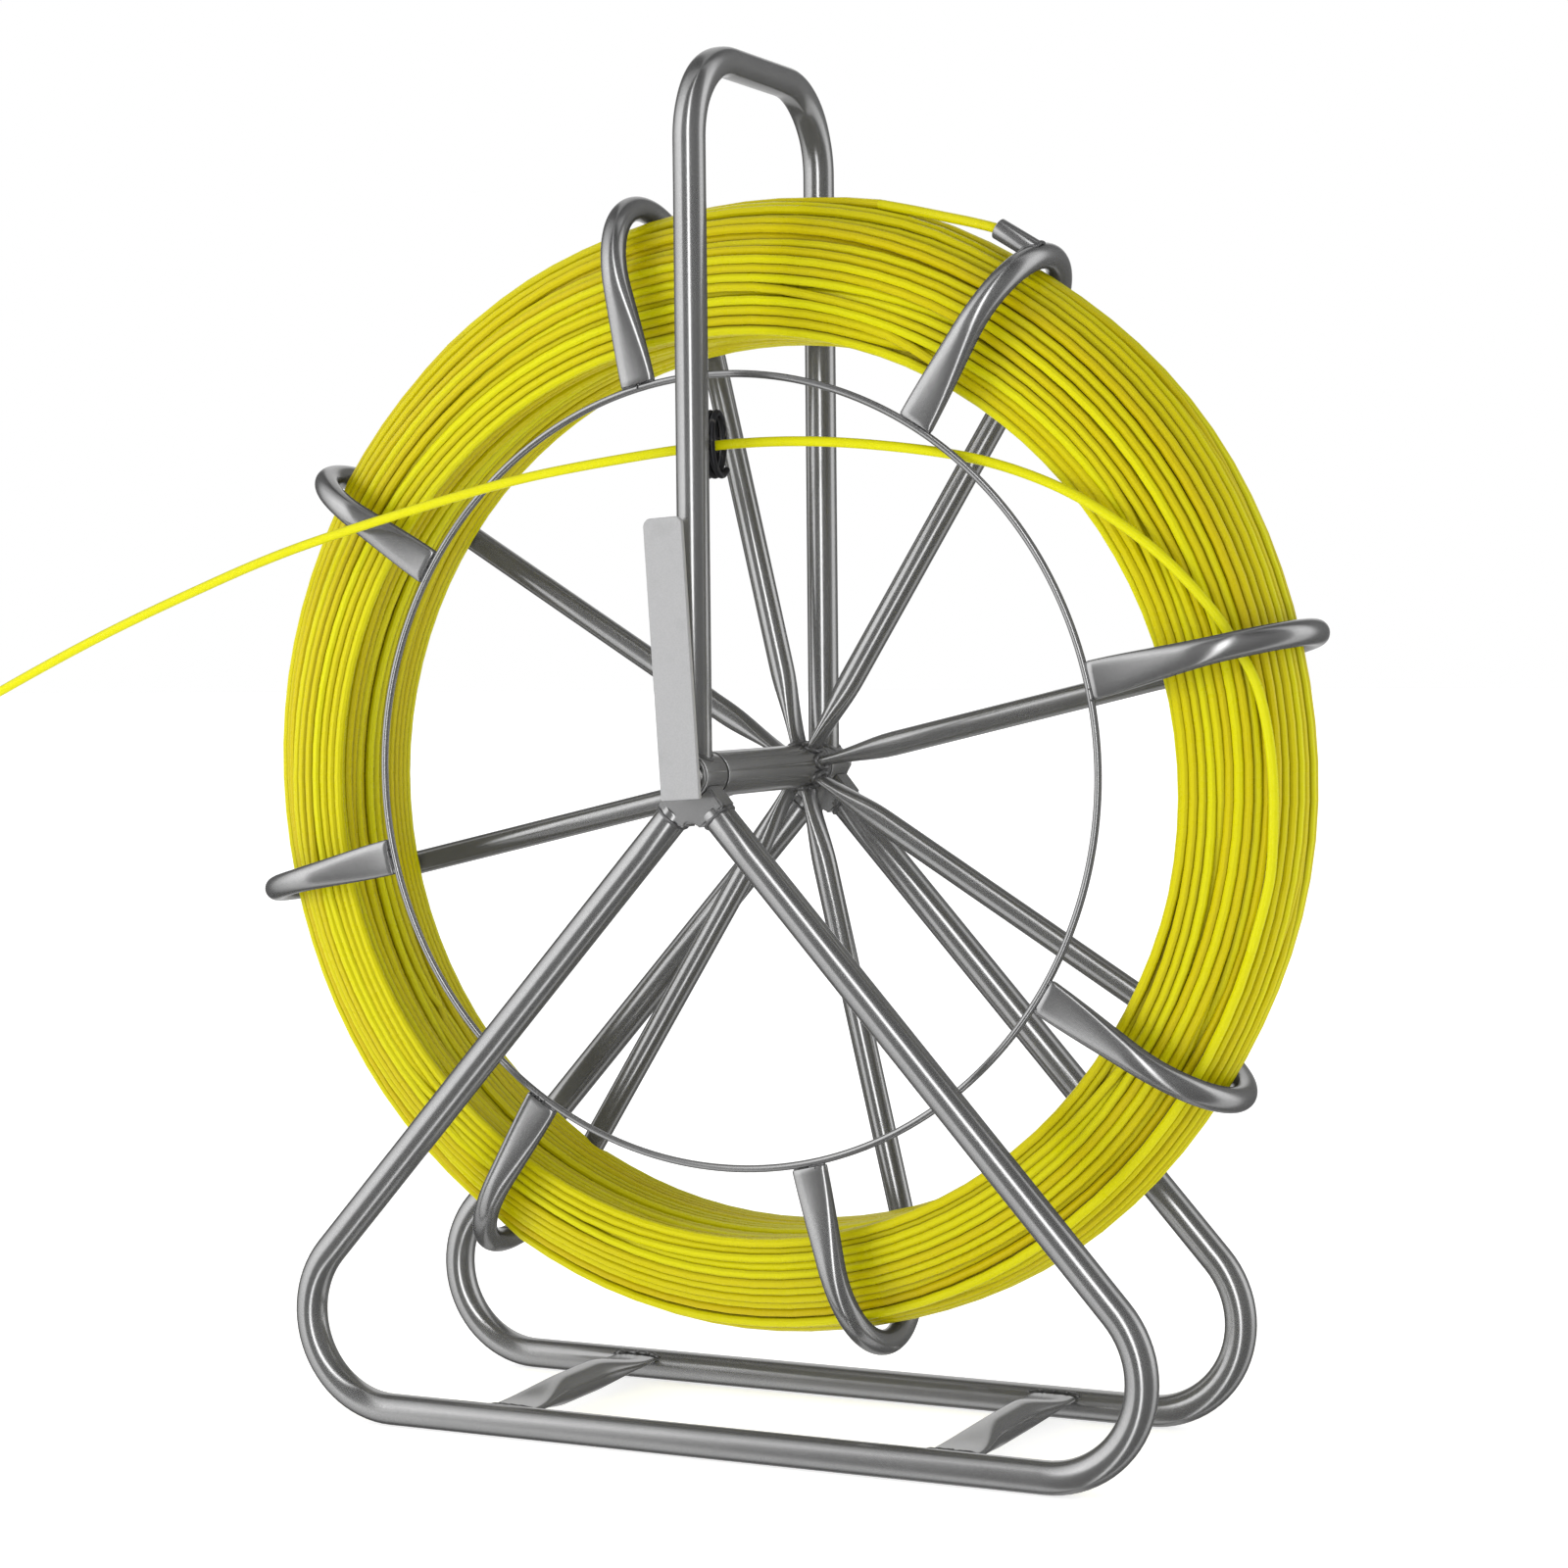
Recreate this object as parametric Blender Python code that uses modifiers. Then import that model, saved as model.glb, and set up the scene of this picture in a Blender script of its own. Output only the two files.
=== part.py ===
"""Fish tape reel: a fibreglass duct rod on a spoked cage reel in a bent-tube stand.

Units are metres and +Z is up. X runs along the base bars and Y along the axle, with the
side that carries the brake lever at -Y. The origin is on the floor under the axle's middle.
"""
import math

import bmesh
import bpy
from mathutils import Matrix, Vector

# ---- driving dimensions -------------------------------------------------------------
GAP = 0.0003                  # clearance between touching pieces
MERGE = 0.00001               # points closer than this are one point

STAND_TUBE_R = 0.00975        # stand tube, 19.5 mm outside
AXLE_Z = 0.406                # axle height above the floor
POST_Y = 0.090                # distance of each side frame from the middle plane
HANDLE_TOP = 0.424            # handle bar's centre line above the axle
HANDLE_BEND = 0.052
BASE_REACH = 0.275            # half length of a side frame, to the bend's centre line
BASE_BEND = 0.058
LEG_TOP_X, LEG_TOP_DROP = 0.012, 0.021    # where a leg starts, from the axle

CROSS_MIDDLE, CROSS_X = 0.0105, 0.1465    # between the cross tubes, and from there to each
CROSS_Z = 0.0150              # height of their centre line
CROSS_SHORT = 0.0102          # their ends stop this far from a base bar's centre line
CROSS_FLAT_WIDE, CROSS_FLAT_THIN = 0.0155, 0.0024     # half widths of the pressed ends
CROSS_FLAT_LENGTH, CROSS_FLAT_TAPER = 0.006, 0.056

BOSS_R, BOSS_BORE = 0.0133, 0.0063
BOSS_IN, BOSS_OUT = 0.074, 0.100          # a boss's inner and outer face, from the middle
GUSSET_T = 0.017
GUSSET_WRAP = math.radians(62)            # half the angle that a gusset takes of its boss
GUSSET_SHARE = 0.9                        # its width on the leg, as a share of the tube
HUB_R, HUB_BORE, HUB_END = 0.0136, 0.0100, 0.0719
BUSH_FLANGE_R, BUSH_FLANGE_T, BUSH_LENGTH = 0.0132, 0.0015, 0.020
BOLT_R, BOLT_END = 0.0060, 0.1125
HEX_R = 0.0110                # hexagon, to its corners
HEAD_T, NUT_T, WASHER_T, WASHER_R = 0.0075, 0.0080, 0.0012, 0.0118

LEVER_W, LEVER_L, LEVER_T = 0.0255, 0.165, 0.003
LEVER_BELOW_AXLE = 0.0135
LEVER_CORNER = 0.005
LEVER_TILT = math.radians(-3.5)

SPOKES = 8
SPOKE_R = 0.0077              # spoke tube, 15.4 mm outside
SPOKE_PHASE = math.radians(-13.1)
SPOKE_Y = 0.059               # plane of the long rear legs
RING_Y = -0.054               # plane of the front ring and the short front legs
RING_R, RING_WIRE_R = 0.238, 0.0022
CAGE_R = 0.364                # outside of the hooks
SPOKE_ROOT_R = HUB_R + GAP
# Half widths of a spoke's pressed ends, along the rim and across it, and their tapers.
ROOT_WIDE, ROOT_DEEP, ROOT_TAPER = 0.0032, 0.0098, 0.050
TOE_WIDE, TOE_DEEP, TOE_TAPER = 0.0113, 0.0034, 0.085

ROD_R = 0.0030                # 6 mm fibreglass rod
PACK_IN_R, PACK_OUT_R = 0.272, 0.3455
PACK_FRONT_Y, PACK_REAR_Y = -0.0365, 0.0498
PACK_ROUND = 0.0435           # rounding of the pack's outer corners

HOLDER_R, HOLDER_BORE, HOLDER_LENGTH = 0.0064, 0.0045, 0.029
HOLDER_RADIUS, HOLDER_Y = 0.3568, -0.0150
HOLDER_PAST_HOOK = 0.000
HOLDER_HOOK = 1               # the hook that carries the holder
HOLDER_MOUTH = HOLDER_PAST_HOOK - HOLDER_LENGTH

GUIDE_WIRE_R, GUIDE_TURNS, GUIDE_PITCH = 0.0020, 3.5, 0.0045
GUIDE_START = math.radians(40)
GUIDE_HALF_Y, GUIDE_HALF_Z = 0.0105, 0.0185
GUIDE_ABOVE_AXLE = 0.1955
GUIDE_BEHIND_POST = STAND_TUBE_R + 0.0028   # post's centre line to the guide's near side

FERRULE_R, FERRULE_LENGTH = 0.0046, 0.030
FERRULE_NECK_R, FERRULE_SHOULDER, FERRULE_NECK = 0.0032, 0.0225, 0.0255
EYE_R, EYE_WIRE_R = 0.0085, 0.0021

# ---- fineness of round shapes -------------------------------------------------------
TUBE_SIDES, WIRE_SIDES = 12, 8
TURN_STEPS, SMALL_TURN_STEPS, PACK_STEPS = 24, 16, 40
BEND_STEPS = 12
RING_POINTS, EYE_POINTS = 48, 16
SMOOTH_ANGLE = math.radians(40)

# ---- colours, roughness and metallic values -----------------------------------------
PAINT = ((0.17, 0.17, 0.175), 0.32, 0.75)
LEVER_GREY = ((0.52, 0.52, 0.52), 0.45, 0.35)
DARK_WIRE = ((0.05, 0.05, 0.055), 0.35, 0.8)
ZINC = ((0.55, 0.56, 0.58), 0.3, 1.0)
BUSH_BLACK = ((0.02, 0.02, 0.02), 0.5, 0.0)
ROD_YELLOW = ((0.68, 0.62, 0.015), 0.28, 0.0)
BRASS = ((0.78, 0.57, 0.25), 0.25, 1.0)

# ---- routes chosen by hand ----------------------------------------------------------
# The rod's tail: degrees before its hook, distance from the axle, and y.
TAIL_ROUTE = [(-18.0, 0.3489, -0.0045), (-14.0, 0.3500, -0.0078),
              (-10.5, 0.3520, -0.0108), (-7.5, 0.3548, -0.0133)]
TAIL_IN_HOLDER = 0.006        # how far the rod reaches into the holder
TAIL_SLOPE = 0.0005           # its rise across that length
TAIL_STEP = 0.0135

# The free run of the rod: (x, y, height above the axle). It leaves the pack's front
# layer, passes behind the ring, through the guide behind the front post, and out in
# front of the ring.
FREE_RUN = [(0.3194, -0.0268, -0.100), (0.3266, -0.0264, -0.075), (0.3315, -0.0262, -0.050),
            (0.3330, -0.0283, 0.000), (0.3267, -0.0310, 0.045), (0.3154, -0.0350, 0.071),
            (0.300, -0.0386, 0.095), (0.273, -0.0418, 0.124), (0.240, -0.0438, 0.149),
            (0.205, -0.0448, 0.168), (0.160, -0.0462, 0.183), (0.105, -0.0515, 0.192),
            (0.052, -0.0590, 0.196), (0.000, -0.0675, 0.1945), (-0.060, -0.0730, 0.188),
            (-0.128, -0.0745, 0.178), (-0.200, -0.0760, 0.162), (-0.290, -0.0770, 0.139),
            (-0.364, -0.0780, 0.114), (-0.440, -0.0790, 0.085), (-0.518, -0.0800, 0.051),
            (-0.572, -0.0805, 0.025)]
FREE_RUN_STEP = 0.018         # spacing of the tube's points, three rod diameters
CURVE_READINGS = 24           # readings between two knots when a curve is measured


# ---- scene and object helpers -------------------------------------------------------
def clear_scene():
    for old in list(bpy.data.objects):
        bpy.data.objects.remove(old, do_unlink=True)


def new_collection(name):
    group = bpy.data.collections.new(name)
    bpy.context.scene.collection.children.link(group)
    return group


def material(name, look):
    colour, roughness, metallic = look
    made = bpy.data.materials.new(name)
    made.use_nodes = True
    shader = made.node_tree.nodes["Principled BSDF"]
    shader.inputs["Base Color"].default_value = (*colour, 1.0)
    shader.inputs["Roughness"].default_value = roughness
    shader.inputs["Metallic"].default_value = metallic
    return made


def add_object(name, data, look, parent=None):
    made = bpy.data.objects.new(name, data)
    data.materials.append(material(name, look))
    PARTS.objects.link(made)
    made.parent = parent
    return made


def add_pivot(name):
    """An empty on the axle's axis, which carries what turns about it."""
    empty = bpy.data.objects.new(name, None)
    empty.location.z = AXLE_Z
    PARTS.objects.link(empty)
    return empty


def mesh_object(name, shape, look, parent=None):
    """Turn a bmesh into a smooth-shaded object with its faces pointing out."""
    mesh = bpy.data.meshes.new(name)
    bmesh.ops.recalc_face_normals(shape, faces=shape.faces)
    if shape.calc_volume(signed=True) < 0:
        bmesh.ops.reverse_faces(shape, faces=shape.faces)
    shape.to_mesh(mesh)
    shape.free()
    made = add_object(name, mesh, look, parent)
    mesh.shade_smooth()
    mesh.set_sharp_from_angle(angle=SMOOTH_ANGLE)
    return made


def cylinder(name, radius, y_from, y_to, look, parent=None, segments=TURN_STEPS):
    """A cylinder along Y, or a hexagonal bar with six segments."""
    shape = bmesh.new()
    place = Matrix.Translation((0.0, (y_from + y_to) / 2, 0.0))
    turn = Matrix.Rotation(math.pi / 2, 4, "X")
    bmesh.ops.create_cone(shape, cap_ends=True, segments=segments, radius1=radius,
                          radius2=radius, depth=abs(y_to - y_from), matrix=place @ turn)
    return mesh_object(name, shape, look, parent)


def turned(name, profile, look, parent=None, steps=TURN_STEPS):
    """Turn a profile of (radius, y) points about the Y axis.

    The profile runs down its outer side, from +Y to -Y. One that starts on the axis also
    ends on it, and any other is closed into a ring.
    """
    mesh = bpy.data.meshes.new(name)
    last = len(profile) - 1
    edges = [(i, i + 1) for i in range(last)]
    if profile[0][0] > 0.0:
        edges.append((last, 0))
    mesh.from_pydata([(radius, y, 0.0) for radius, y in profile], edges, [])
    made = add_object(name, mesh, look, parent)
    screw = made.modifiers.new("turn", "SCREW")
    screw.axis = "Y"
    screw.angle = math.tau
    screw.steps = steps
    screw.render_steps = steps
    screw.use_merge_vertices = True
    screw.merge_threshold = MERGE
    screw.use_smooth_shade = True
    return made


def sleeve(name, outer, bore, y_from, y_to, look, parent=None, steps=TURN_STEPS):
    top, bottom = max(y_from, y_to), min(y_from, y_to)
    profile = [(outer, top), (outer, bottom), (bore, bottom), (bore, top)]
    return turned(name, profile, look, parent, steps)


def plate(name, outline, middle_y, thickness, look, parent=None):
    """A flat outline of (x, z) points, with its thickness along Y."""
    curve = bpy.data.curves.new(name, "CURVE")
    curve.dimensions = "2D"
    curve.fill_mode = "BOTH"
    curve.extrude = thickness / 2
    curve.resolution_u = 1
    spline = curve.splines.new("POLY")
    spline.points.add(len(outline) - 1)
    for knot, (x, z) in zip(spline.points, outline):
        knot.co = (x, z, 0.0, 1.0)
    spline.use_cyclic_u = True
    made = add_object(name, curve, look, parent)
    made.location.y = middle_y
    made.rotation_euler.x = math.pi / 2
    return made


def tube(name, points, radius, look, parent=None, sides=TUBE_SIDES, closed=False, tilt=0.0):
    """A round tube along points. Its flats, not its corners, lie at the tube's radius."""
    curve = bpy.data.curves.new(name, "CURVE")
    curve.dimensions = "3D"
    curve.bevel_depth = radius / math.cos(math.pi / sides)
    curve.bevel_resolution = (sides - 4) // 2
    curve.use_fill_caps = True
    curve.resolution_u = 1
    spline = curve.splines.new("POLY")
    spline.points.add(len(points) - 1)
    for knot, place in zip(spline.points, points):
        knot.co = (*place, 1.0)
        knot.tilt = tilt
    spline.use_cyclic_u = closed
    return add_object(name, curve, look, parent)


def curve_to_mesh(made):
    """Replace a curve object by its welded mesh, so that a Boolean can use it."""
    bpy.context.view_layer.update()
    evaluated = made.evaluated_get(bpy.context.evaluated_depsgraph_get())
    mesh = bpy.data.meshes.new_from_object(evaluated)
    shape = bmesh.new()
    shape.from_mesh(mesh)
    bmesh.ops.remove_doubles(shape, verts=shape.verts, dist=MERGE)
    shape.to_mesh(mesh)
    shape.free()
    name = made.name
    solid = bpy.data.objects.new(name + "_solid", mesh)
    PARTS.objects.link(solid)
    solid.parent = made.parent
    solid.matrix_world = made.matrix_world.copy()
    bpy.data.objects.remove(made, do_unlink=True)
    solid.name = name
    return solid


def combine(made, tool, operation):
    """Cut a tool out of an object, or join it on. The tool is hidden afterwards."""
    PARTS.objects.unlink(tool)
    CUTTERS.objects.link(tool)
    tool.hide_render = True
    tool.display_type = "WIRE"
    change = made.modifiers.new(tool.name, "BOOLEAN")
    change.operation = operation
    change.object = tool


def loft(name, rings, look, parent=None):
    """Skin a row of unlike sections and close both ends with a centre point."""
    shape = bmesh.new()
    rows = [[shape.verts.new(place) for place in ring] for ring in rings]
    count = len(rows[0])
    for here, there in zip(rows, rows[1:]):
        for i in range(count):
            j = (i + 1) % count
            shape.faces.new((here[i], here[j], there[j], there[i]))
    for row in (rows[0], rows[-1]):
        middle = shape.verts.new(sum((v.co for v in row), Vector()) / count)
        for i in range(count):
            shape.faces.new((row[i], row[(i + 1) % count], middle))
    return mesh_object(name, shape, look, parent)


# ---- paths and sections -------------------------------------------------------------
def arc(centre, radius, start, end, steps):
    """Points of a circular arc in a plane, as pairs."""
    angles = [start + (end - start) * step / steps for step in range(steps + 1)]
    return [(centre[0] + radius * math.cos(a), centre[1] + radius * math.sin(a))
            for a in angles]


def circle(radius, steps):
    return arc((0.0, 0.0), radius, 0.0, math.tau, steps)[:-1]


def catmull_rom(a, b, c, d, t):
    """Point at share t of the stretch from b to c."""
    return 0.5 * (2 * b + (c - a) * t + (2 * a - 5 * b + 4 * c - d) * t * t
                  + (3 * b - a - 3 * c + d) * t ** 3)


def smooth_path(knots, step):
    """A smooth curve through the knots, read at an even spacing."""
    places = [Vector(knot) for knot in knots]
    ends = [places[0] * 2 - places[1]] + places + [places[-1] * 2 - places[-2]]
    fine = [catmull_rom(*stretch, part / CURVE_READINGS)
            for stretch in zip(ends, ends[1:], ends[2:], ends[3:])
            for part in range(CURVE_READINGS)]
    fine.append(places[-1])
    spans = [(q - p).length for p, q in zip(fine, fine[1:])]
    count = round(sum(spans) / step)
    path, run, i = [], 0.0, 0
    for k in range(count + 1):
        goal = sum(spans) * k / count
        while i < len(spans) - 1 and run + spans[i] < goal:
            run += spans[i]
            i += 1
        path.append(fine[i].lerp(fine[i + 1], min(1.0, (goal - run) / spans[i])))
    return path


def ease(low, high, share):
    """Go smoothly from low to high as share goes from 0 to 1."""
    share = max(0.0, min(1.0, share))
    return low + (high - low) * share * share * (3 - 2 * share)


def directions(path):
    ahead = path[1:] + [path[-1] * 2 - path[-2]]
    behind = [path[0] * 2 - path[1]] + path[:-1]
    return [(b - a).normalized() for a, b in zip(behind, ahead)]


def section_ring(place, along, half_wide, half_deep, sides):
    """One ring of a pressed tube, half_wide along X and half_deep square to that."""
    wide = Vector((1.0, 0.0, 0.0))
    deep = along.cross(wide).normalized()
    angles = [math.tau * (i + 0.5) / sides for i in range(sides)]
    return [place + wide * half_wide * math.cos(a) + deep * half_deep * math.sin(a)
            for a in angles]


# ---- the stand ----------------------------------------------------------------------
def side_frame_outline():
    """Leg, base corner, base bar, base corner, leg, as (x, z) points from the right."""
    centre = Vector((BASE_REACH - BASE_BEND, STAND_TUBE_R + BASE_BEND))
    top = Vector((LEG_TOP_X, AXLE_Z - LEG_TOP_DROP))
    away = top - centre
    touch = math.atan2(away.y, away.x) - math.acos(BASE_BEND / away.length)
    right = [tuple(top)] + arc(centre, BASE_BEND, touch, -math.pi / 2, BEND_STEPS)
    return right + [(-x, z) for x, z in reversed(right)]


def make_side_frame(name, y):
    """Two legs and a base bar in one bent tube, one of whose flats lies on the floor."""
    points = [(x, y, z) for x, z in side_frame_outline()]
    return tube(name, points, STAND_TUBE_R, PAINT, tilt=math.pi / TUBE_SIDES)


def make_handle():
    """One tube bent into an inverted U, coped at both feet over the axle bosses."""
    foot = AXLE_Z + BOSS_R / 2
    top = AXLE_Z + HANDLE_TOP
    turn = (POST_Y - HANDLE_BEND, top - HANDLE_BEND)
    rear = [(POST_Y, foot)] + arc(turn, HANDLE_BEND, 0.0, math.pi / 2, BEND_STEPS * 2 // 3)
    points = [(0.0, y, z) for y, z in rear + [(-y, z) for y, z in reversed(rear)]]
    handle = curve_to_mesh(tube("handle_tube", points, STAND_TUBE_R, PAINT))
    cope = cylinder("handle_cope", BOSS_R + GAP, -BOLT_END, BOLT_END, PAINT)
    cope.location.z = AXLE_Z
    combine(handle, cope, "DIFFERENCE")


def make_boss(name, side):
    boss = sleeve(name, BOSS_R, BOSS_BORE, side * BOSS_IN, side * BOSS_OUT, PAINT)
    boss.location.z = AXLE_Z


def make_gusset(name, side):
    """Saddle that joins the two leg tops to the underside of a boss."""
    down = -math.pi / 2
    saddle = arc((0.0, 0.0), BOSS_R + GAP, down - GUSSET_WRAP, down + GUSSET_WRAP, BEND_STEPS)
    top, knee = (Vector(place) for place in side_frame_outline()[:2])
    leg = (knee - top).normalized()
    half = Vector((-leg.y, leg.x)) * STAND_TUBE_R * GUSSET_SHARE
    near = Vector((LEG_TOP_X, -LEG_TOP_DROP)) - leg * GAP
    high, low = near + half, near - half
    outline = saddle + [tuple(high), tuple(low), (-low.x, low.y), (-high.x, high.y)]
    made = plate(name, outline, side * (BOSS_IN + BOSS_OUT) / 2, GUSSET_T, PAINT)
    made.location.z = AXLE_Z


def make_cross_tube(name, x):
    """Straight tube between the base bars, its ends pressed flat against their inner sides."""
    reach = POST_Y - CROSS_SHORT
    steps = BEND_STEPS * 3 // 2
    along = Vector((0.0, 1.0, 0.0))
    rings = []
    for step in range(steps + 1):
        y = reach * (2 * step / steps - 1)
        inward = (reach - abs(y) - CROSS_FLAT_LENGTH) / CROSS_FLAT_TAPER
        wide = ease(CROSS_FLAT_WIDE, STAND_TUBE_R, inward)
        deep = ease(CROSS_FLAT_THIN, STAND_TUBE_R, inward)
        rings.append(section_ring(Vector((x, y, CROSS_Z)), along, wide, deep, TUBE_SIDES))
    return loft(name, rings, PAINT)


def make_rod_guide():
    """Wound wire eye behind the front post; the rod runs through it along X."""
    middle_y = -POST_Y + GUIDE_BEHIND_POST + GUIDE_HALF_Y
    middle_z = AXLE_Z + GUIDE_ABOVE_AXLE
    steps = round(GUIDE_TURNS * BEND_STEPS)
    points = []
    for step in range(steps + 1):
        turn = GUIDE_START + math.tau * GUIDE_TURNS * step / steps
        x = GUIDE_PITCH * GUIDE_TURNS * (step / steps - 0.5)
        points.append((x, middle_y - GUIDE_HALF_Y * math.sin(turn),
                       middle_z + GUIDE_HALF_Z * math.cos(turn)))
    return tube("rod_guide", points, GUIDE_WIRE_R, DARK_WIRE, sides=WIRE_SIDES)


# ---- brake lever, bolt, nut and washers ---------------------------------------------
def make_lever(pivot):
    """Flat bar with two rounded corners, on its pivot's axis."""
    half = LEVER_W / 2
    top = LEVER_L - LEVER_BELOW_AXLE
    inner = half - LEVER_CORNER
    level = top - LEVER_CORNER
    steps = BEND_STEPS // 3
    outline = [(-half, -LEVER_BELOW_AXLE), (half, -LEVER_BELOW_AXLE)]
    outline += arc((inner, level), LEVER_CORNER, 0.0, math.pi / 2, steps)
    outline += arc((-inner, level), LEVER_CORNER, math.pi / 2, math.pi, steps)
    made = plate("brake_lever", outline, LEVER_T / 2 - BOLT_END, LEVER_T, LEVER_GREY, pivot)
    made.rotation_euler.y = LEVER_TILT


def make_bolt(pivot):
    """Hexagon-headed bolt whose head is welded behind the lever."""
    face = LEVER_T + GAP - BOLT_END
    bolt = cylinder("axle_bolt", HEX_R, face, face + HEAD_T, ZINC, pivot, segments=6)
    shank = cylinder("bolt_shank", BOLT_R, face + HEAD_T / 2, BOLT_END, ZINC, pivot)
    combine(bolt, shank, "UNION")


def make_nut():
    face = BOSS_OUT + GAP + WASHER_T + GAP
    nut = cylinder("axle_nut", HEX_R, face, face + NUT_T, ZINC, segments=6)
    bore = cylinder("nut_bore", BOLT_R + GAP, face - NUT_T, face + 2 * NUT_T, ZINC)
    nut.location.z = AXLE_Z
    bore.location.z = AXLE_Z
    combine(nut, bore, "DIFFERENCE")


def make_washer(name, side):
    face = side * (BOSS_OUT + GAP)
    washer = sleeve(name, WASHER_R, BOLT_R + GAP, face, face + side * WASHER_T, ZINC)
    washer.location.z = AXLE_Z


# ---- the reel -----------------------------------------------------------------------
def make_hub(reel):
    sleeve("hub_tube", HUB_R, HUB_BORE, -HUB_END, HUB_END, PAINT, reel)


def make_bush(name, side, reel):
    """Flanged bush in one end of the hub. Its profile is drawn for the +Y end."""
    seat = HUB_END + GAP
    bore, body = BOLT_R + GAP, HUB_BORE - GAP
    profile = [(bore, seat + BUSH_FLANGE_T), (BUSH_FLANGE_R, seat + BUSH_FLANGE_T),
               (BUSH_FLANGE_R, seat), (body, seat), (body, seat - BUSH_LENGTH),
               (bore, seat - BUSH_LENGTH)]
    bush = turned(name, profile, BUSH_BLACK, reel)
    if side < 0:
        bush.rotation_euler.x = math.pi


def spoke_path():
    """Centre line of a spoke as (radius, y): hub, long leg, bend, short leg, ring."""
    bend = (SPOKE_Y - RING_Y) / 2
    centre = (CAGE_R - SPOKE_R - bend, (SPOKE_Y + RING_Y) / 2)
    toe = centre[0] - RING_R - RING_WIRE_R - GAP
    path = [(SPOKE_ROOT_R + ROOT_TAPER * share, SPOKE_Y) for share in (0, 0.12, 0.32, 0.64, 1)]
    path += arc(centre, bend, math.pi / 2, -math.pi / 2, BEND_STEPS)
    path += [(centre[0] - toe * share, RING_Y) for share in (0.3, 0.55, 0.75, 0.9, 1)]
    return path


def make_spoke(name, angle, reel):
    """One bent tube: pinched on the hub, round along the leg, pressed wide at the ring."""
    path = [Vector((0.0, y, r)) for r, y in spoke_path()]
    rings = []
    for i, (place, along) in enumerate(zip(path, directions(path))):
        if i < len(path) // 2:
            out = (place.z - SPOKE_ROOT_R) / ROOT_TAPER
            wide, deep = ease(ROOT_WIDE, SPOKE_R, out), ease(ROOT_DEEP, SPOKE_R, out)
        else:
            out = (place.z - RING_R) / TOE_TAPER
            wide, deep = ease(TOE_WIDE, SPOKE_R, out), ease(TOE_DEEP, SPOKE_R, out)
        rings.append(section_ring(place, along, wide, deep, WIRE_SIDES))
    spoke = loft(name, rings, PAINT, reel)
    spoke.rotation_euler.y = angle


def make_ring(reel):
    points = [(x, RING_Y, z) for x, z in circle(RING_R, RING_POINTS)]
    tube("front_ring", points, RING_WIRE_R, PAINT, reel, sides=WIRE_SIDES, closed=True)


def make_holder(reel, hook_angle):
    """Short tube whose coped end is welded to a hook's outer bend; it grips the rod's tail."""
    holder = sleeve("rod_end_holder", HOLDER_R, HOLDER_BORE, HOLDER_MOUTH, HOLDER_PAST_HOOK,
                    PAINT, reel, SMALL_TURN_STEPS)
    hook = Matrix.Rotation(hook_angle, 4, "Y")
    along_rim = Matrix.Rotation(-math.pi / 2, 4, "Z")
    holder.matrix_local = hook @ Matrix.Translation((0, HOLDER_Y, HOLDER_RADIUS)) @ along_rim
    bend = [(0.0, y, r) for r, y in spoke_path()[BEND_STEPS // 2:-BEND_STEPS // 2]]
    cope = curve_to_mesh(tube("holder_cope", bend, SPOKE_R + 2 * GAP, PAINT, reel))
    cope.rotation_euler.y = hook_angle
    combine(holder, cope, "DIFFERENCE")


def make_pack(reel):
    """Outer shape of the wound rod: a ring with rounded outer corners."""
    inner = PACK_OUT_R - PACK_ROUND
    steps = BEND_STEPS // 3
    rear = arc((inner, PACK_REAR_Y - PACK_ROUND), PACK_ROUND, math.pi / 2, 0.0, steps)
    front = arc((inner, PACK_FRONT_Y + PACK_ROUND), PACK_ROUND, 0.0, -math.pi / 2, steps)
    profile = [(PACK_IN_R, PACK_REAR_Y)] + rear + front + [(PACK_IN_R, PACK_FRONT_Y)]
    turned("rod_coil", profile, ROD_YELLOW, reel, PACK_STEPS)


def make_tail(reel, hook_angle):
    """End of the rod, leaving the pack's outer layer and running into the holder."""
    knots = []
    for degrees, radius, y in TAIL_ROUTE:
        angle = math.radians(degrees)
        knots.append((radius * math.sin(angle), y, radius * math.cos(angle)))
    low = HOLDER_RADIUS - TAIL_SLOPE / 2
    knots.append((HOLDER_MOUTH, HOLDER_Y, low))
    knots.append((HOLDER_MOUTH + TAIL_IN_HOLDER, HOLDER_Y, low + TAIL_SLOPE))
    tail = tube("rod_tail", smooth_path(knots, TAIL_STEP), ROD_R, ROD_YELLOW, reel,
                sides=WIRE_SIDES)
    tail.rotation_euler.y = hook_angle


# ---- the free run of the rod and its end fitting ------------------------------------
def make_free_run():
    """The rod's free run. Returns the frame of its tip, whose +Y points out of it."""
    knots = [(x, y, AXLE_Z + rise) for x, y, rise in FREE_RUN]
    path = smooth_path(knots, FREE_RUN_STEP)
    tube("rod_free_run", path, ROD_R, ROD_YELLOW, sides=WIRE_SIDES)
    out = (path[-1] - path[-2]).normalized()
    side = out.cross(Vector((0.0, 1.0, 0.0))).normalized()
    aim = Matrix((side, out, side.cross(out))).transposed().to_4x4()
    return Matrix.Translation(path[-1] + out * GAP) @ aim


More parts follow.
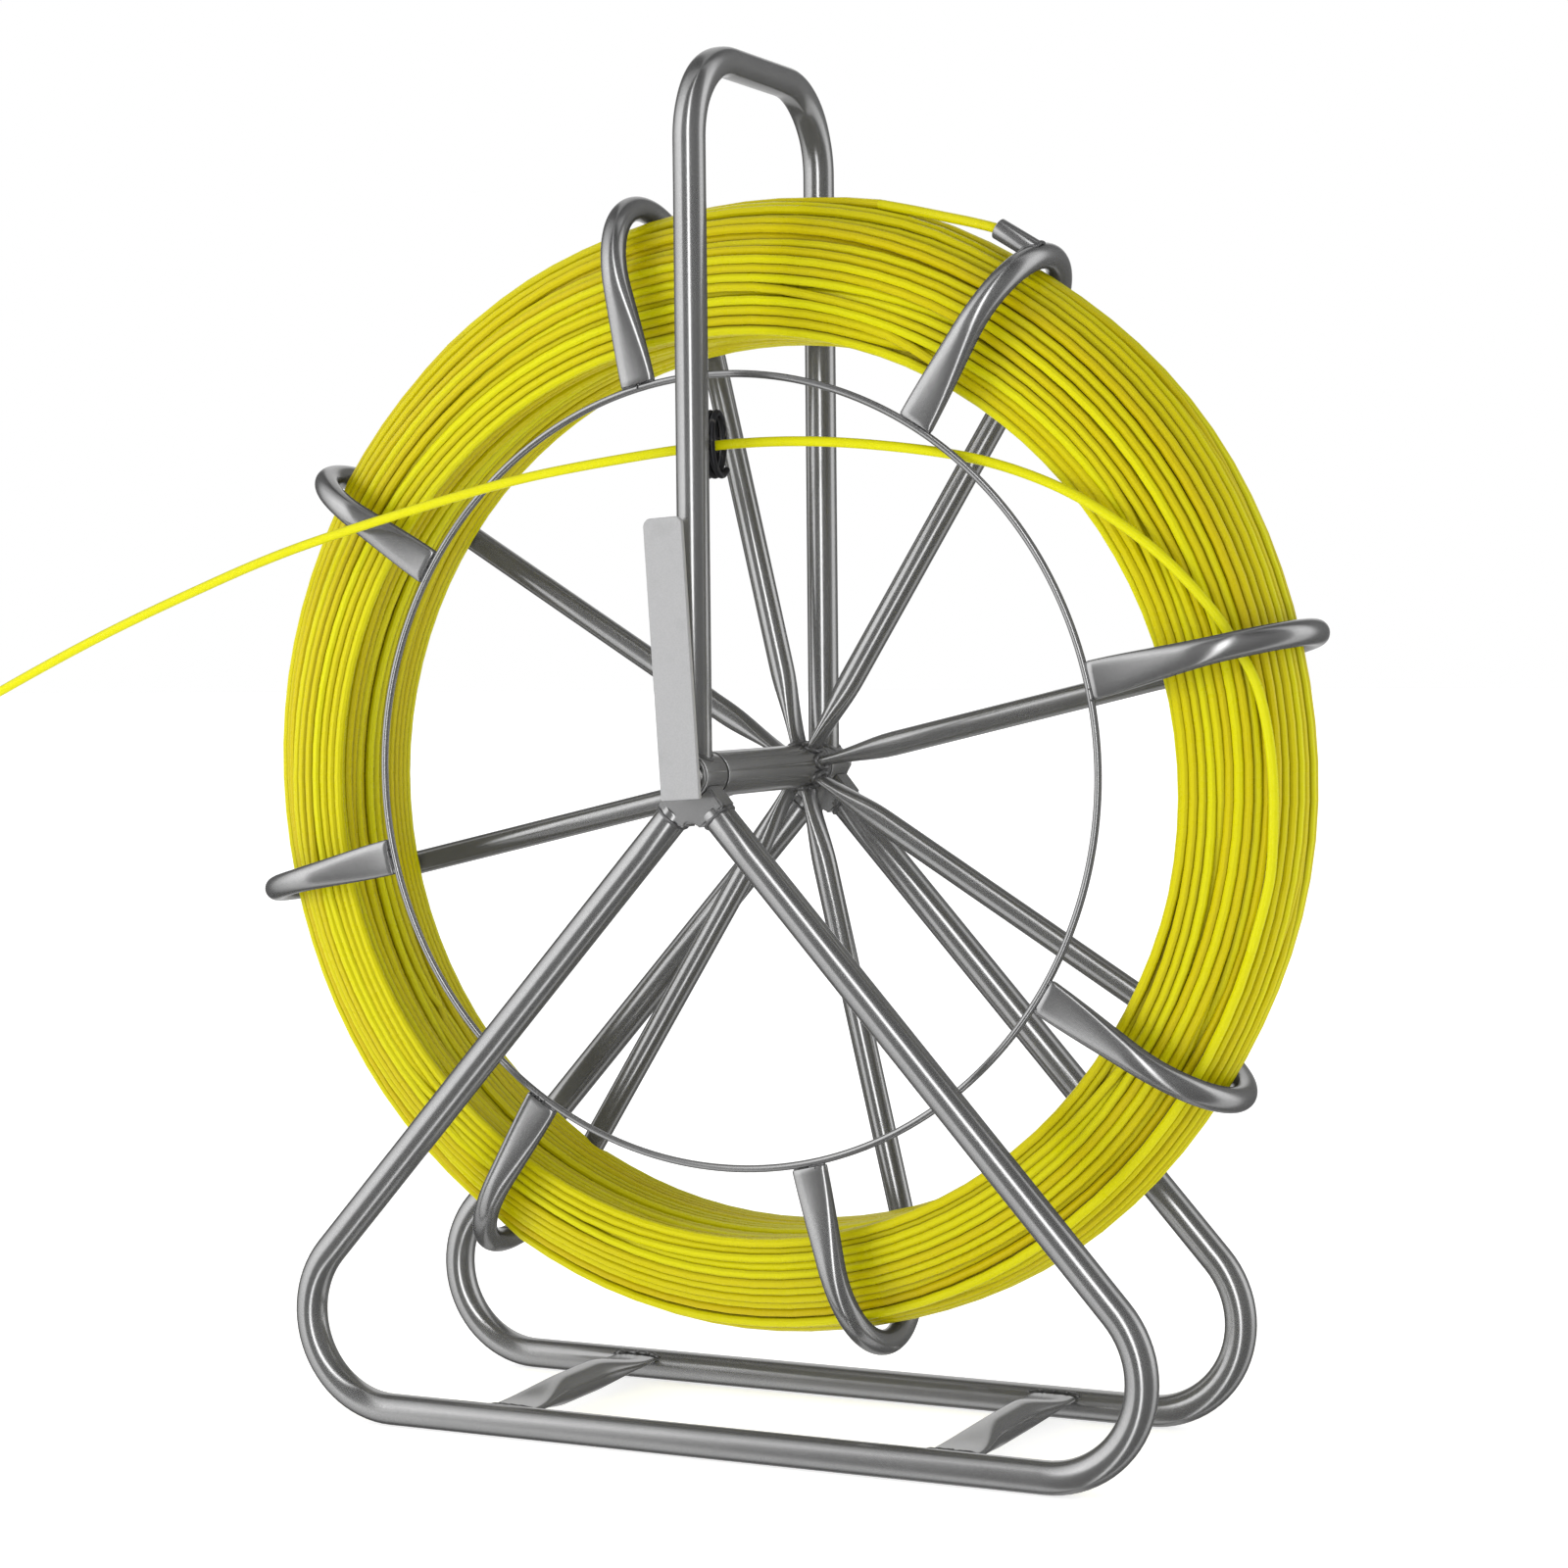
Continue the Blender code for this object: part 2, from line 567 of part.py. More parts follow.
def make_end_fitting(tip):
    """Crimped ferrule and pulling eye, drawn along +Y from the rod's tip."""
    profile = [(0.0, FERRULE_LENGTH), (FERRULE_NECK_R, FERRULE_LENGTH),
               (FERRULE_NECK_R, FERRULE_NECK), (FERRULE_R, FERRULE_SHOULDER),
               (FERRULE_R, 0.0), (0.0, 0.0)]
    ferrule = turned("rod_end_ferrule", profile, BRASS, steps=SMALL_TURN_STEPS)
    ferrule.matrix_world = tip
    middle = FERRULE_LENGTH + 2 * GAP + EYE_R + EYE_WIRE_R
    ring = [(x, middle + y, 0.0) for x, y in circle(EYE_R, EYE_POINTS)]
    eye = tube("pulling_eye", ring, EYE_WIRE_R, BRASS, sides=WIRE_SIDES, closed=True)
    eye.matrix_world = tip


# ---- build --------------------------------------------------------------------------
clear_scene()
PARTS = new_collection("fish_tape_reel")
CUTTERS = new_collection("cutters")

make_side_frame("front_side_frame", -POST_Y)
make_side_frame("rear_side_frame", POST_Y)
make_handle()
for end, way in (("front", -1), ("rear", 1)):
    make_boss(end + "_axle_boss", way)
    make_gusset(end + "_gusset", way)
    make_washer(end + "_washer", way)
make_cross_tube("left_cross_tube", CROSS_MIDDLE - CROSS_X)
make_cross_tube("right_cross_tube", CROSS_MIDDLE + CROSS_X)
make_rod_guide()
make_nut()

lever_pivot = add_pivot("lever_pivot")
make_lever(lever_pivot)
make_bolt(lever_pivot)

reel_pivot = add_pivot("reel_pivot")
make_hub(reel_pivot)
make_bush("front_bush", -1, reel_pivot)
make_bush("rear_bush", 1, reel_pivot)
spoke_angles = [SPOKE_PHASE + math.tau * i / SPOKES for i in range(SPOKES)]
for number, spoke_angle in enumerate(spoke_angles, 1):
    make_spoke("spoke_%d" % number, spoke_angle, reel_pivot)
make_ring(reel_pivot)
make_holder(reel_pivot, spoke_angles[HOLDER_HOOK])
make_pack(reel_pivot)
make_tail(reel_pivot, spoke_angles[HOLDER_HOOK])

rod_tip = make_free_run()
make_end_fitting(rod_tip)
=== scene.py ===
"""Looks of the fish tape reel: smooth tubes, welds, the wound rod, materials and studio."""
import math

import bmesh
import bpy
import numpy as np
from mathutils import Matrix, Vector


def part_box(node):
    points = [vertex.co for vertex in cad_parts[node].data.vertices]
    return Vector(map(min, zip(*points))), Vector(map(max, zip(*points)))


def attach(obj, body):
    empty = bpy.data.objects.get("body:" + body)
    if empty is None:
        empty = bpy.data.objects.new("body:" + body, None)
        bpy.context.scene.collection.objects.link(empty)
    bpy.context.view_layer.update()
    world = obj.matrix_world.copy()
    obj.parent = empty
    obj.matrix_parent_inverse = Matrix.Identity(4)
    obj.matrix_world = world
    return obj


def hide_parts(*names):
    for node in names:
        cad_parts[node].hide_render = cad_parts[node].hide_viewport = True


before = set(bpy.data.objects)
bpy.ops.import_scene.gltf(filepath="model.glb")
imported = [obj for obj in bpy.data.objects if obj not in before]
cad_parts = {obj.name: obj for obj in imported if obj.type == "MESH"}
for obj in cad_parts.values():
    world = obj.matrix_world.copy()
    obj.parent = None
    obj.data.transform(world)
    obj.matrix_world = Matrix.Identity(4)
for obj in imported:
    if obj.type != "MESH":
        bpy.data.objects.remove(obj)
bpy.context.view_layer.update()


def node_size(node):
    low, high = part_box(node)
    return Vector(high) - Vector(low)


def node_middle(node):
    low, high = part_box(node)
    return (Vector(high) + Vector(low)) / 2


# ---- sizes, in metres ---------------------------------------------------------------
GAP = 0.0003
TUBE_R = node_size("front_side_frame").y / 2
POST_Y = node_middle("rear_side_frame").y
AXLE_Z = node_middle("hub_tube").z
HANDLE_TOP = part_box("handle_tube")[1].z - TUBE_R
HANDLE_BEND = 0.052
BASE_REACH, BASE_BEND = 0.275, 0.058
LEG_TOP = Vector((0.012, AXLE_Z - 0.021))
CROSS_REACH = node_size("right_cross_tube").y / 2
CROSS_Z = node_middle("right_cross_tube").z
CROSS_FLAT = (0.0152, 0.0024)
CROSS_FLAT_LENGTH, CROSS_FLAT_TAPER = 0.006, 0.056
BOSS_R, BOSS_BORE, BOSS_IN, BOSS_OUT = 0.0133, 0.0063, 0.074, 0.100
GUSSET_T, GUSSET_ROUND = 0.0172, 0.0012
HUB_R, HUB_BORE, HUB_END = 0.0136, 0.0100, 0.0719
BOLT_R, BOLT_END, HEX_R, HEAD_T, NUT_T = 0.0060, 0.1125, 0.0110, 0.0075, 0.0080
WASHER_R, WASHER_T = 0.0118, 0.0012
LEVER_W, LEVER_L, LEVER_T = 0.0255, 0.165, 0.003
LEVER_BELOW_AXLE, LEVER_CORNER, LEVER_TILT = 0.0135, 0.005, math.radians(-3.5)
SPOKES, SPOKE_R = 8, 0.0077
SPOKE_PHASE = math.radians(-13.1)
SPOKE_Y, RING_Y = 0.059, -0.054
RING_R, RING_WIRE_R, CAGE_R = 0.238, 0.0022, 0.364
ROOT, ROOT_TAPER = (0.0032, 0.0098), 0.050
TOE, TOE_TAPER = (0.0113, 0.0034), 0.085
BEND_R = (SPOKE_Y - RING_Y) / 2
BEND_CENTRE = (CAGE_R - SPOKE_R - BEND_R, (SPOKE_Y + RING_Y) / 2)
HOLDER_R, HOLDER_BORE, HOLDER_RADIUS, HOLDER_Y = 0.0064, 0.0045, 0.3568, -0.0150
HOLDER_FROM, HOLDER_TO = -0.029, -0.0005
HOLDER_ANGLE = SPOKE_PHASE + math.tau / SPOKES
GUIDE_WIRE_R, GUIDE_TURNS, GUIDE_PITCH = 0.0020, 3.5, 0.0045
GUIDE_START = math.radians(40)
GUIDE_HALF_Y, GUIDE_HALF_Z = 0.0105, 0.0185
GUIDE_MIDDLE = Vector((0.0, -POST_Y + TUBE_R + 0.0028 + GUIDE_HALF_Y, AXLE_Z + 0.1955))
ROD_R = 0.0030
FERRULE_R, FERRULE_LENGTH = 0.0046, 0.030
EYE_R, EYE_WIRE_R = 0.0085, 0.0021

# The rod's routes, as in the CAD. The tail: degrees before the holder's hook, distance
# from the axle, and y. The free run: x, y and height above the axle.
TAIL_ROUTE = [(-18.0, 0.3489, -0.0045), (-14.0, 0.3500, -0.0078),
              (-10.5, 0.3520, -0.0108), (-7.5, 0.3548, -0.0133)]
FREE_RUN = [(0.3194, -0.0268, -0.100), (0.3266, -0.0264, -0.075), (0.3315, -0.0262, -0.050),
            (0.3330, -0.0283, 0.000), (0.3267, -0.0310, 0.045), (0.3154, -0.0350, 0.071),
            (0.300, -0.0386, 0.095), (0.273, -0.0418, 0.124), (0.240, -0.0438, 0.149),
            (0.205, -0.0448, 0.168), (0.160, -0.0462, 0.183), (0.105, -0.0515, 0.192),
            (0.052, -0.0590, 0.196), (0.000, -0.0675, 0.1945), (-0.060, -0.0730, 0.188),
            (-0.128, -0.0745, 0.178), (-0.200, -0.0760, 0.162), (-0.290, -0.0770, 0.139),
            (-0.364, -0.0780, 0.114), (-0.440, -0.0790, 0.085), (-0.518, -0.0800, 0.051),
            (-0.572, -0.0805, 0.025)]


# ---- camera, world, lights and floor ------------------------------------------------
CAMERA_PLACE = Vector((0.8928, -1.8406, 0.4817))
CAMERA_FORWARD = Vector((-0.43031597, 0.90173063, -0.04135251))
CAMERA_ROLL = math.radians(-0.568)
CAMERA_LENS = 76.6


def add_object(name, data):
    made = bpy.data.objects.new(name, data)
    bpy.context.scene.collection.objects.link(made)
    return made


def add_camera():
    data = bpy.data.cameras.new("camera")
    data.lens = CAMERA_LENS
    data.sensor_width = 36.0
    camera = add_object("camera", data)
    level = CAMERA_FORWARD.cross(Vector((0.0, 0.0, 1.0))).normalized()
    upright = level.cross(CAMERA_FORWARD)
    right = level * math.cos(CAMERA_ROLL) + upright * math.sin(CAMERA_ROLL)
    up = right.cross(CAMERA_FORWARD)
    turn = Matrix((right, up, -CAMERA_FORWARD)).transposed().to_4x4()
    camera.matrix_world = Matrix.Translation(CAMERA_PLACE) @ turn
    bpy.context.scene.camera = camera


def add_area_light(name, place, aim, size, power):
    data = bpy.data.lights.new(name, "AREA")
    data.shape = "RECTANGLE"
    data.size, data.size_y = size
    data.energy = power
    light = add_object(name, data)
    light.visible_glossy = False
    light.location = place
    away = Vector(place) - Vector(aim)
    light.rotation_euler = away.to_track_quat("Z", "Y").to_euler()


def ramp(nodes, link, stops, source):
    """Greys by position, read at the source."""
    made = nodes.new("ShaderNodeValToRGB")
    elements = made.color_ramp.elements
    while len(elements) < len(stops):
        elements.new(1.0)
    for element, (where, grey) in zip(elements, stops):
        element.position = where
        element.color = (grey, grey, grey, 1.0)
    link(source, made.inputs["Fac"])
    return made.outputs["Color"]


# What shiny surfaces see around them. First its brightness by compass turn: 0.5 lies
# towards the camera, 0.25 to its left and 0.75 to its right. Then a factor by height:
# 0 is straight down, 0.5 the horizon and 1 straight up.
STUDIO_HEADING = math.radians(64.5)
SOFT_LIGHT = 0.67             # strength of the even white light on matt surfaces
STUDIO_TURN = [(0.00, 1.40), (0.03, 1.20), (0.05, 0.18), (0.12, 0.16), (0.17, 1.00),
               (0.26, 1.75), (0.335, 2.00), (0.344, 1.30), (0.356, 0.24), (0.455, 0.16),
               (0.470, 5.00), (0.488, 5.00), (0.505, 0.25), (0.64, 0.16), (0.70, 0.30),
               (0.73, 1.50), (0.79, 1.50), (0.83, 0.28), (0.93, 0.28), (0.96, 1.20),
               (1.00, 1.40)]
STUDIO_RISE = [(0.000, 0.38), (0.135, 0.42), (0.410, 0.66), (0.500, 0.86), (0.710, 1.00),
               (0.870, 0.66), (0.935, 0.42), (1.000, 0.28)]


def add_world():
    world = bpy.data.worlds.new("studio")
    world.use_nodes = True
    bpy.context.scene.world = world
    nodes, link = world.node_tree.nodes, world.node_tree.links.new
    nodes.clear()
    place = nodes.new("ShaderNodeTexCoord").outputs["Generated"]
    heading = nodes.new("ShaderNodeMapping")
    heading.inputs["Rotation"].default_value[2] = STUDIO_HEADING
    link(place, heading.inputs["Vector"])
    round_about = nodes.new("ShaderNodeTexGradient")
    round_about.gradient_type = "RADIAL"
    link(heading.outputs["Vector"], round_about.inputs["Vector"])
    split = nodes.new("ShaderNodeSeparateXYZ")
    link(place, split.inputs["Vector"])
    height = nodes.new("ShaderNodeMapRange")
    height.inputs["From Min"].default_value = -1.0
    link(split.outputs["Z"], height.inputs["Value"])
    both = nodes.new("ShaderNodeMix")
    both.data_type = "RGBA"
    both.blend_type = "MULTIPLY"
    both.inputs["Factor"].default_value = 1.0
    link(ramp(nodes, link, STUDIO_TURN, round_about.outputs["Fac"]), both.inputs[6])
    link(ramp(nodes, link, STUDIO_RISE, height.outputs["Result"]), both.inputs[7])
    soft, shiny, white = (nodes.new("ShaderNodeBackground") for _ in range(3))
    soft.inputs["Color"].default_value = white.inputs["Color"].default_value = (1, 1, 1, 1)
    soft.inputs["Strength"].default_value = SOFT_LIGHT
    link(both.outputs[2], shiny.inputs["Color"])
    path = nodes.new("ShaderNodeLightPath")
    below = soft.outputs["Background"]
    for ray, light in (("Is Glossy Ray", shiny), ("Is Camera Ray", white)):
        chosen = nodes.new("ShaderNodeMixShader")
        link(path.outputs[ray], chosen.inputs["Fac"])
        link(below, chosen.inputs[1])
        link(light.outputs["Background"], chosen.inputs[2])
        below = chosen.outputs["Shader"]
    link(below, nodes.new("ShaderNodeOutputWorld").inputs["Surface"])


def add_floor():
    bpy.ops.mesh.primitive_plane_add(size=60.0, location=(0.0, 0.0, -0.0002))
    floor = bpy.context.object
    floor.name = "floor"
    made = bpy.data.materials.new("floor")
    made.use_nodes = True
    shader = made.node_tree.nodes["Principled BSDF"]
    for socket, value in (("Base Color", (0.93, 0.93, 0.93, 1.0)), ("Roughness", 0.9),
                          ("Specular IOR Level", 0.1), ("Emission Color", (1.0, 1.0, 1.0, 1.0)),
                          ("Emission Strength", 0.62)):
        shader.inputs[socket].default_value = value
    floor.data.materials.append(made)
    floor.visible_glossy = False


# ---- materials ----------------------------------------------------------------------
class Look:
    """A node material under construction, read in the object's own coordinates."""

    def __init__(self, name, colour, roughness, metallic=0.0):
        self.material = bpy.data.materials.new(name)
        self.material.use_nodes = True
        self.nodes = self.material.node_tree.nodes
        self.links = self.material.node_tree.links
        self.shader = self.nodes["Principled BSDF"]
        self.shader.inputs["Base Color"].default_value = (*colour, 1.0)
        self.shader.inputs["Roughness"].default_value = roughness
        self.shader.inputs["Metallic"].default_value = metallic
        self.place = self.nodes.new("ShaderNodeTexCoord").outputs["Object"]

    def node(self, kind, source, into, **values):
        """A new node with its sockets set, whose `into` socket reads the source."""
        made = self.nodes.new("ShaderNode" + kind)
        for socket, value in values.items():
            made.inputs[socket.replace("_", " ")].default_value = value
        self.links.new(source, made.inputs[into])
        return made

    def noise(self, scale, detail=2.0, roughness=0.5):
        return self.node("TexNoise", self.place, "Vector", Scale=scale, Detail=detail,
                         Roughness=roughness).outputs["Fac"]

    def flakes(self, scale):
        cells = self.node("TexVoronoi", self.place, "Vector", Scale=scale).outputs["Color"]
        return self.node("SeparateColor", cells, "Color").outputs["Red"]

    def attribute(self, name):
        made = self.nodes.new("ShaderNodeAttribute")
        made.attribute_name = name
        return made.outputs["Fac"]

    def glossy_ray(self):
        return self.nodes.new("ShaderNodeLightPath").outputs["Is Glossy Ray"]

    def spread(self, fac, low, high, from_low=0.0, from_high=1.0):
        return self.node("MapRange", fac, "Value", From_Min=from_low, From_Max=from_high,
                         To_Min=low, To_Max=high).outputs["Result"]

    def mix(self, fac, first, second):
        made = self.nodes.new("ShaderNodeMix")
        made.data_type = "RGBA"
        for socket, value in ((made.inputs[0], fac), (made.inputs[6], first),
                              (made.inputs[7], second)):
            if isinstance(value, tuple):
                socket.default_value = (*value, 1.0)
            elif isinstance(value, float):
                socket.default_value = value
            else:
                self.links.new(value, socket)
        return made.outputs[2]

    def colour(self, source):
        self.links.new(source, self.shader.inputs["Base Color"])

    def rough(self, source):
        self.links.new(source, self.shader.inputs["Roughness"])

    def bump(self, *layers):
        """Stack bumps, each a (height, depth in metres, strength)."""
        below = None
        for height, depth, strength in layers:
            made = self.node("Bump", height, "Height", Strength=strength, Distance=depth)
            if below is not None:
                self.links.new(below, made.inputs["Normal"])
            below = made.outputs["Normal"]
        self.links.new(below, self.shader.inputs["Normal"])


def grey_paint():
    look = Look("grey_metallic_paint", (0.38, 0.38, 0.38), 0.22, 0.85)
    flakes = look.flakes(1500.0)
    patches = look.noise(24.0, 4.0)
    dark = look.mix(flakes, (0.37, 0.37, 0.372), (0.41, 0.41, 0.41))
    look.colour(look.mix(look.spread(patches, 0.0, 0.25, 0.35, 0.7), dark, (0.32, 0.32, 0.322)))
    look.rough(look.spread(look.noise(40.0, 3.0), 0.19, 0.23, 0.3, 0.7))
    look.bump((look.noise(900.0, 2.0), 0.0001, 0.03), (look.noise(90.0, 2.0), 0.0004, 0.012))
    look.shader.inputs["Specular Tint"].default_value = (0.55, 0.55, 0.55, 1.0)
    look.shader.inputs["Coat Weight"].default_value = 0.12
    look.shader.inputs["Coat Roughness"].default_value = 0.10
    return look.material


def weld_metal():
    look = Look("weld_bead", (0.24, 0.24, 0.25), 0.38, 0.85)
    look.colour(look.mix(look.noise(400.0, 3.0), (0.12, 0.12, 0.12), (0.28, 0.28, 0.285)))
    look.bump((look.noise(500.0, 3.0), 0.0006, 0.6))
    return look.material


def lever_grey():
    look = Look("lever_satin_grey", (0.58, 0.58, 0.585), 0.5, 0.2)
    grain = look.noise(1100.0, 2.0)
    worn = look.noise(45.0, 5.0, 0.6)
    fine = look.mix(grain, (0.36, 0.36, 0.365), (0.47, 0.47, 0.475))
    look.colour(look.mix(look.spread(worn, 0.0, 0.30, 0.55, 0.75), fine, (0.31, 0.31, 0.31)))
    look.rough(look.spread(worn, 0.42, 0.58, 0.3, 0.7))
    look.bump((grain, 0.0002, 0.35))
    return look.material


def dark_wire():
    look = Look("dark_wire", (0.05, 0.05, 0.055), 0.35, 0.8)
    scuffs = look.noise(300.0, 4.0, 0.6)
    look.colour(look.mix(look.spread(scuffs, 0.0, 1.0, 0.58, 0.72), (0.045, 0.045, 0.05),
                         (0.25, 0.24, 0.22)))
    look.rough(look.spread(scuffs, 0.28, 0.5, 0.3, 0.7))
    look.bump((look.noise(700.0), 0.0002, 0.25))
    return look.material


def bush_plastic():
    look = Look("black_bearing_plastic", (0.02, 0.02, 0.02), 0.5)
    look.colour(look.mix(look.noise(200.0, 3.0), (0.014, 0.014, 0.015), (0.035, 0.035, 0.035)))
    look.rough(look.spread(look.noise(90.0, 3.0), 0.38, 0.6, 0.3, 0.7))
    look.bump((look.noise(1200.0), 0.0001, 0.3))
    return look.material


def clouded(name, colour, metallic, scale, shades, roughness, grain):
    """A plain material whose colour and roughness drift with one soft noise."""
    look = Look(name, colour, sum(roughness) / 2, metallic)
    cloud = look.noise(scale, 4.0)
    look.colour(look.mix(cloud, *shades))
    look.rough(look.spread(cloud, *roughness, 0.3, 0.7))
    look.bump((look.noise(grain, 2.0), 0.0001, 0.3))
    return look.material


def rod_yellow():
    """Yellow jacket, with painted shade in dark ochre in the grooves between strands; the metal
    mirrors it as grey.
    """
    look = Look("glossy_yellow_jacket", (0.58, 0.53, 0.004), 0.27)
    fresh = look.mix(look.attribute("ochre"), (0.67, 0.65, 0.002), (0.57, 0.46, 0.001))
    smudge = look.spread(look.noise(55.0, 4.0, 0.6), 0.0, 0.15, 0.55, 0.78)
    jacket = look.mix(smudge, fresh, (0.52, 0.39, 0.001))
    # Painted shade: the jacket darkens to a dark ochre where the groove attribute says strands
    # hide each other.
    shaded = look.mix(look.attribute("groove"), jacket, (0.13, 0.085, 0.000))
    look.colour(look.mix(look.glossy_ray(), shaded, (0.16, 0.16, 0.155)))
    look.rough(look.spread(look.noise(180.0, 3.0), 0.24, 0.34, 0.3, 0.7))
    look.bump((look.noise(300.0, 2.0), 0.0001, 0.03))
    look.shader.inputs["Specular IOR Level"].default_value = 0.22
    return look.material


PAINT = grey_paint()
WELD = weld_metal()
LEVER_PAINT = lever_grey()
WIRE = dark_wire()
ZINC = clouded("zinc_plate", (0.55, 0.56, 0.58), 1.0, 130.0,
               ((0.44, 0.44, 0.45), (0.68, 0.68, 0.66)), (0.22, 0.42), 900.0)
PLASTIC = bush_plastic()
BRASS = clouded("turned_brass", (0.78, 0.57, 0.25), 1.0, 160.0,
                ((0.66, 0.45, 0.18), (0.85, 0.65, 0.32)), (0.18, 0.36), 1000.0)
YELLOW = rod_yellow()

# ---- mesh helpers -------------------------------------------------------------------
SMOOTH_ANGLE = math.radians(35)
TUBE_SIDES, WIRE_SIDES, THREAD_SIDES, ROUND_STEPS = 36, 18, 48, 64
EDGE = 0.0007                 # rounding of a cut tube's rim
Y_AXIS = np.array((0.0, 1.0, 0.0))


def unit(rows):
    return rows / np.linalg.norm(rows, axis=-1, keepdims=True)


def columns(*parts):
    """Rows of coordinates from their columns, where a plain number fills its column."""
    return np.stack(np.broadcast_arrays(*parts), axis=-1).astype(float)


def round_turn(steps):
    """Evenly spaced angles that go once round."""
    return math.tau * np.arange(steps) / steps


def tangents(path, closed):
    if closed:
        return unit(np.roll(path, -1, axis=0) - np.roll(path, 1, axis=0))
    along = np.gradient(path, axis=0)
    along[0], along[-1] = path[1] - path[0], path[-1] - path[-2]
    return unit(along)


def sweep(path, wide, deep=None, across=Y_AXIS, sides=TUBE_SIDES, closed=False, power=2.0,
          edge=EDGE):
    """Skin a tube along a path: half widths `wide` near `across` and `deep` square to it.

    A power over 2 squares the section off. Open ends are capped, with rounded rims.
    """
    path = np.asarray(path, dtype=float)
    deep = wide if deep is None else deep
    wide, deep, power = (np.broadcast_to(v, len(path)).astype(float)
                         for v in (wide, deep, power))
    across = np.broadcast_to(across, path.shape)
    along = tangents(path, closed)
    if not closed:
        inset = (1.0 - math.cos(math.pi / 4)) * edge
        head = [path[0], path[0] + along[0] * inset, path[0] + along[0] * edge]
        tail = [path[-1] - along[-1] * edge, path[-1] - along[-1] * inset, path[-1]]
        path = np.vstack([head, path[1:-1], tail])
        less = np.array([edge, inset, 0.0])
        wide = np.concatenate([wide[0] - less, wide[1:-1], wide[-1] - less[::-1]])
        deep = np.concatenate([deep[0] - less, deep[1:-1], deep[-1] - less[::-1]])
        power, across, along = (np.concatenate([v[[0, 0, 0]], v[1:-1], v[[-1, -1, -1]]])
                                for v in (power, across, along))
    side = unit(across - along * np.sum(across * along, axis=1, keepdims=True))
    square = np.cross(along, side)
    angle = round_turn(sides)
    reach = np.stack([np.cos(angle), np.sin(angle)])
    bent = np.sign(reach)[None] * np.abs(reach)[None] ** (2.0 / power[:, None, None])
    rings = (path[:, None] + side[:, None] * (wide[:, None] * bent[:, 0])[..., None]
             + square[:, None] * (deep[:, None] * bent[:, 1])[..., None])
    skin = grid_faces(len(path), sides, True) if closed else capped_faces(len(path), sides)
    return rings.reshape(-1, 3), skin


def grid_faces(rows, sides, closed):
    row = np.arange(rows if closed else rows - 1)[:, None] * sides
    here = np.arange(sides)[None]
    there = (here + 1) % sides
    ahead = (row + sides) % (rows * sides)
    quads = np.stack([row + here, row + there, ahead + there, ahead + here], axis=-1)
    return quads.reshape(-1, 4).tolist()


def capped_faces(rows, sides):
    """The skin of an open tube, with a flat face over each end."""
    first = list(range(sides - 1, -1, -1))
    last = list(range((rows - 1) * sides, rows * sides))
    return grid_faces(rows, sides, False) + [first, last]


def turned(profile, steps=ROUND_STEPS, axle=(0.0, AXLE_Z)):
    """Turn a closed profile of (radius, y) about the axle, or about (x, z)."""
    profile = np.asarray(profile, dtype=float)
    angle = round_turn(steps)
    x = axle[0] + profile[:, :1] * np.sin(angle)
    z = axle[1] + profile[:, :1] * np.cos(angle)
    points = columns(x, profile[:, 1:], z).reshape(-1, 3)
    return points, grid_faces(len(profile), steps, True)


def softened(profile, radius, steps=3):
    """Round each corner of a closed (radius, y) profile."""
    result = []
    count = len(profile)
    for i in range(count):
        before, here, after = (Vector(profile[(i + k) % count]) for k in (-1, 0, 1))
        into, out = (before - here), (after - here)
        reach = min(radius, into.length * 0.45, out.length * 0.45)
        first, last = here + into.normalized() * reach, here + out.normalized() * reach
        for step in range(steps + 1):
            t = step / steps
            result.append(tuple(first * (1 - t) ** 2 + here * 2 * t * (1 - t) + last * t * t))
    return result


def merged(shapes):
    points, faces, start = [], [], 0
    for places, skin in shapes:
        points.append(places)
        faces += [[start + i for i in face] for face in skin]
        start += len(places)
    return np.vstack(points), faces


def extruded(outline, y_from, y_to):
    """An (x, z) outline extruded along Y, as a bmesh."""
    shape = bmesh.new()
    shape.faces.new([shape.verts.new((x, y_from, z)) for x, z in outline])
    made = bmesh.ops.extrude_face_region(shape, geom=list(shape.faces))
    moved = [v for v in made["geom"] if isinstance(v, bmesh.types.BMVert)]
    bmesh.ops.translate(shape, verts=moved, vec=(0.0, y_to - y_from, 0.0))
    bmesh.ops.recalc_face_normals(shape, faces=shape.faces)
    return shape


def bevel(shape, least_angle, width):
    """Round every edge that turns by more than an angle."""
    sharp = [e for e in shape.edges if e.calc_face_angle() > least_angle]
    bmesh.ops.bevel(shape, geom=sharp, offset=width, segments=3, affect="EDGES")


def taken(shape):
    """A bmesh's points and faces, sorted, as a bevel's order differs from run to run."""
    order = sorted(shape.verts, key=lambda v: [round(c, 6) for c in v.co])
    points = np.array([v.co[:] for v in order])
    place = {v: i for i, v in enumerate(order)}
    faces = []
    for face in shape.faces:
        ring = [place[v] for v in face.verts]
        step = 2 if len(ring) == 4 else 1   # a quad is split from its first corner to its third
        first = min(range(0, len(ring), step), key=lambda i: ring[i])
        faces.append(ring[first:] + ring[:first])
    shape.free()
    return points, sorted(faces)


def piece(name, shapes, look, body, nodes=()):
    """Make one riding piece from (points, faces) shapes, in place of its CAD nodes."""
    points, faces = merged(shapes)
    mesh = bpy.data.meshes.new(name)
    mesh.from_pydata(points.tolist(), [], faces)
    mesh.materials.append(look)
    mesh.shade_smooth()
    mesh.set_sharp_from_angle(angle=SMOOTH_ANGLE)
    made = add_object(name, mesh)
    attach(made, body)
    if nodes:
        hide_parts(*nodes)
    return made


def arc(centre, radius, start, end, steps):
    angle = np.linspace(start, end, steps + 1)
    return columns(centre[0] + radius * np.cos(angle), centre[1] + radius * np.sin(angle))


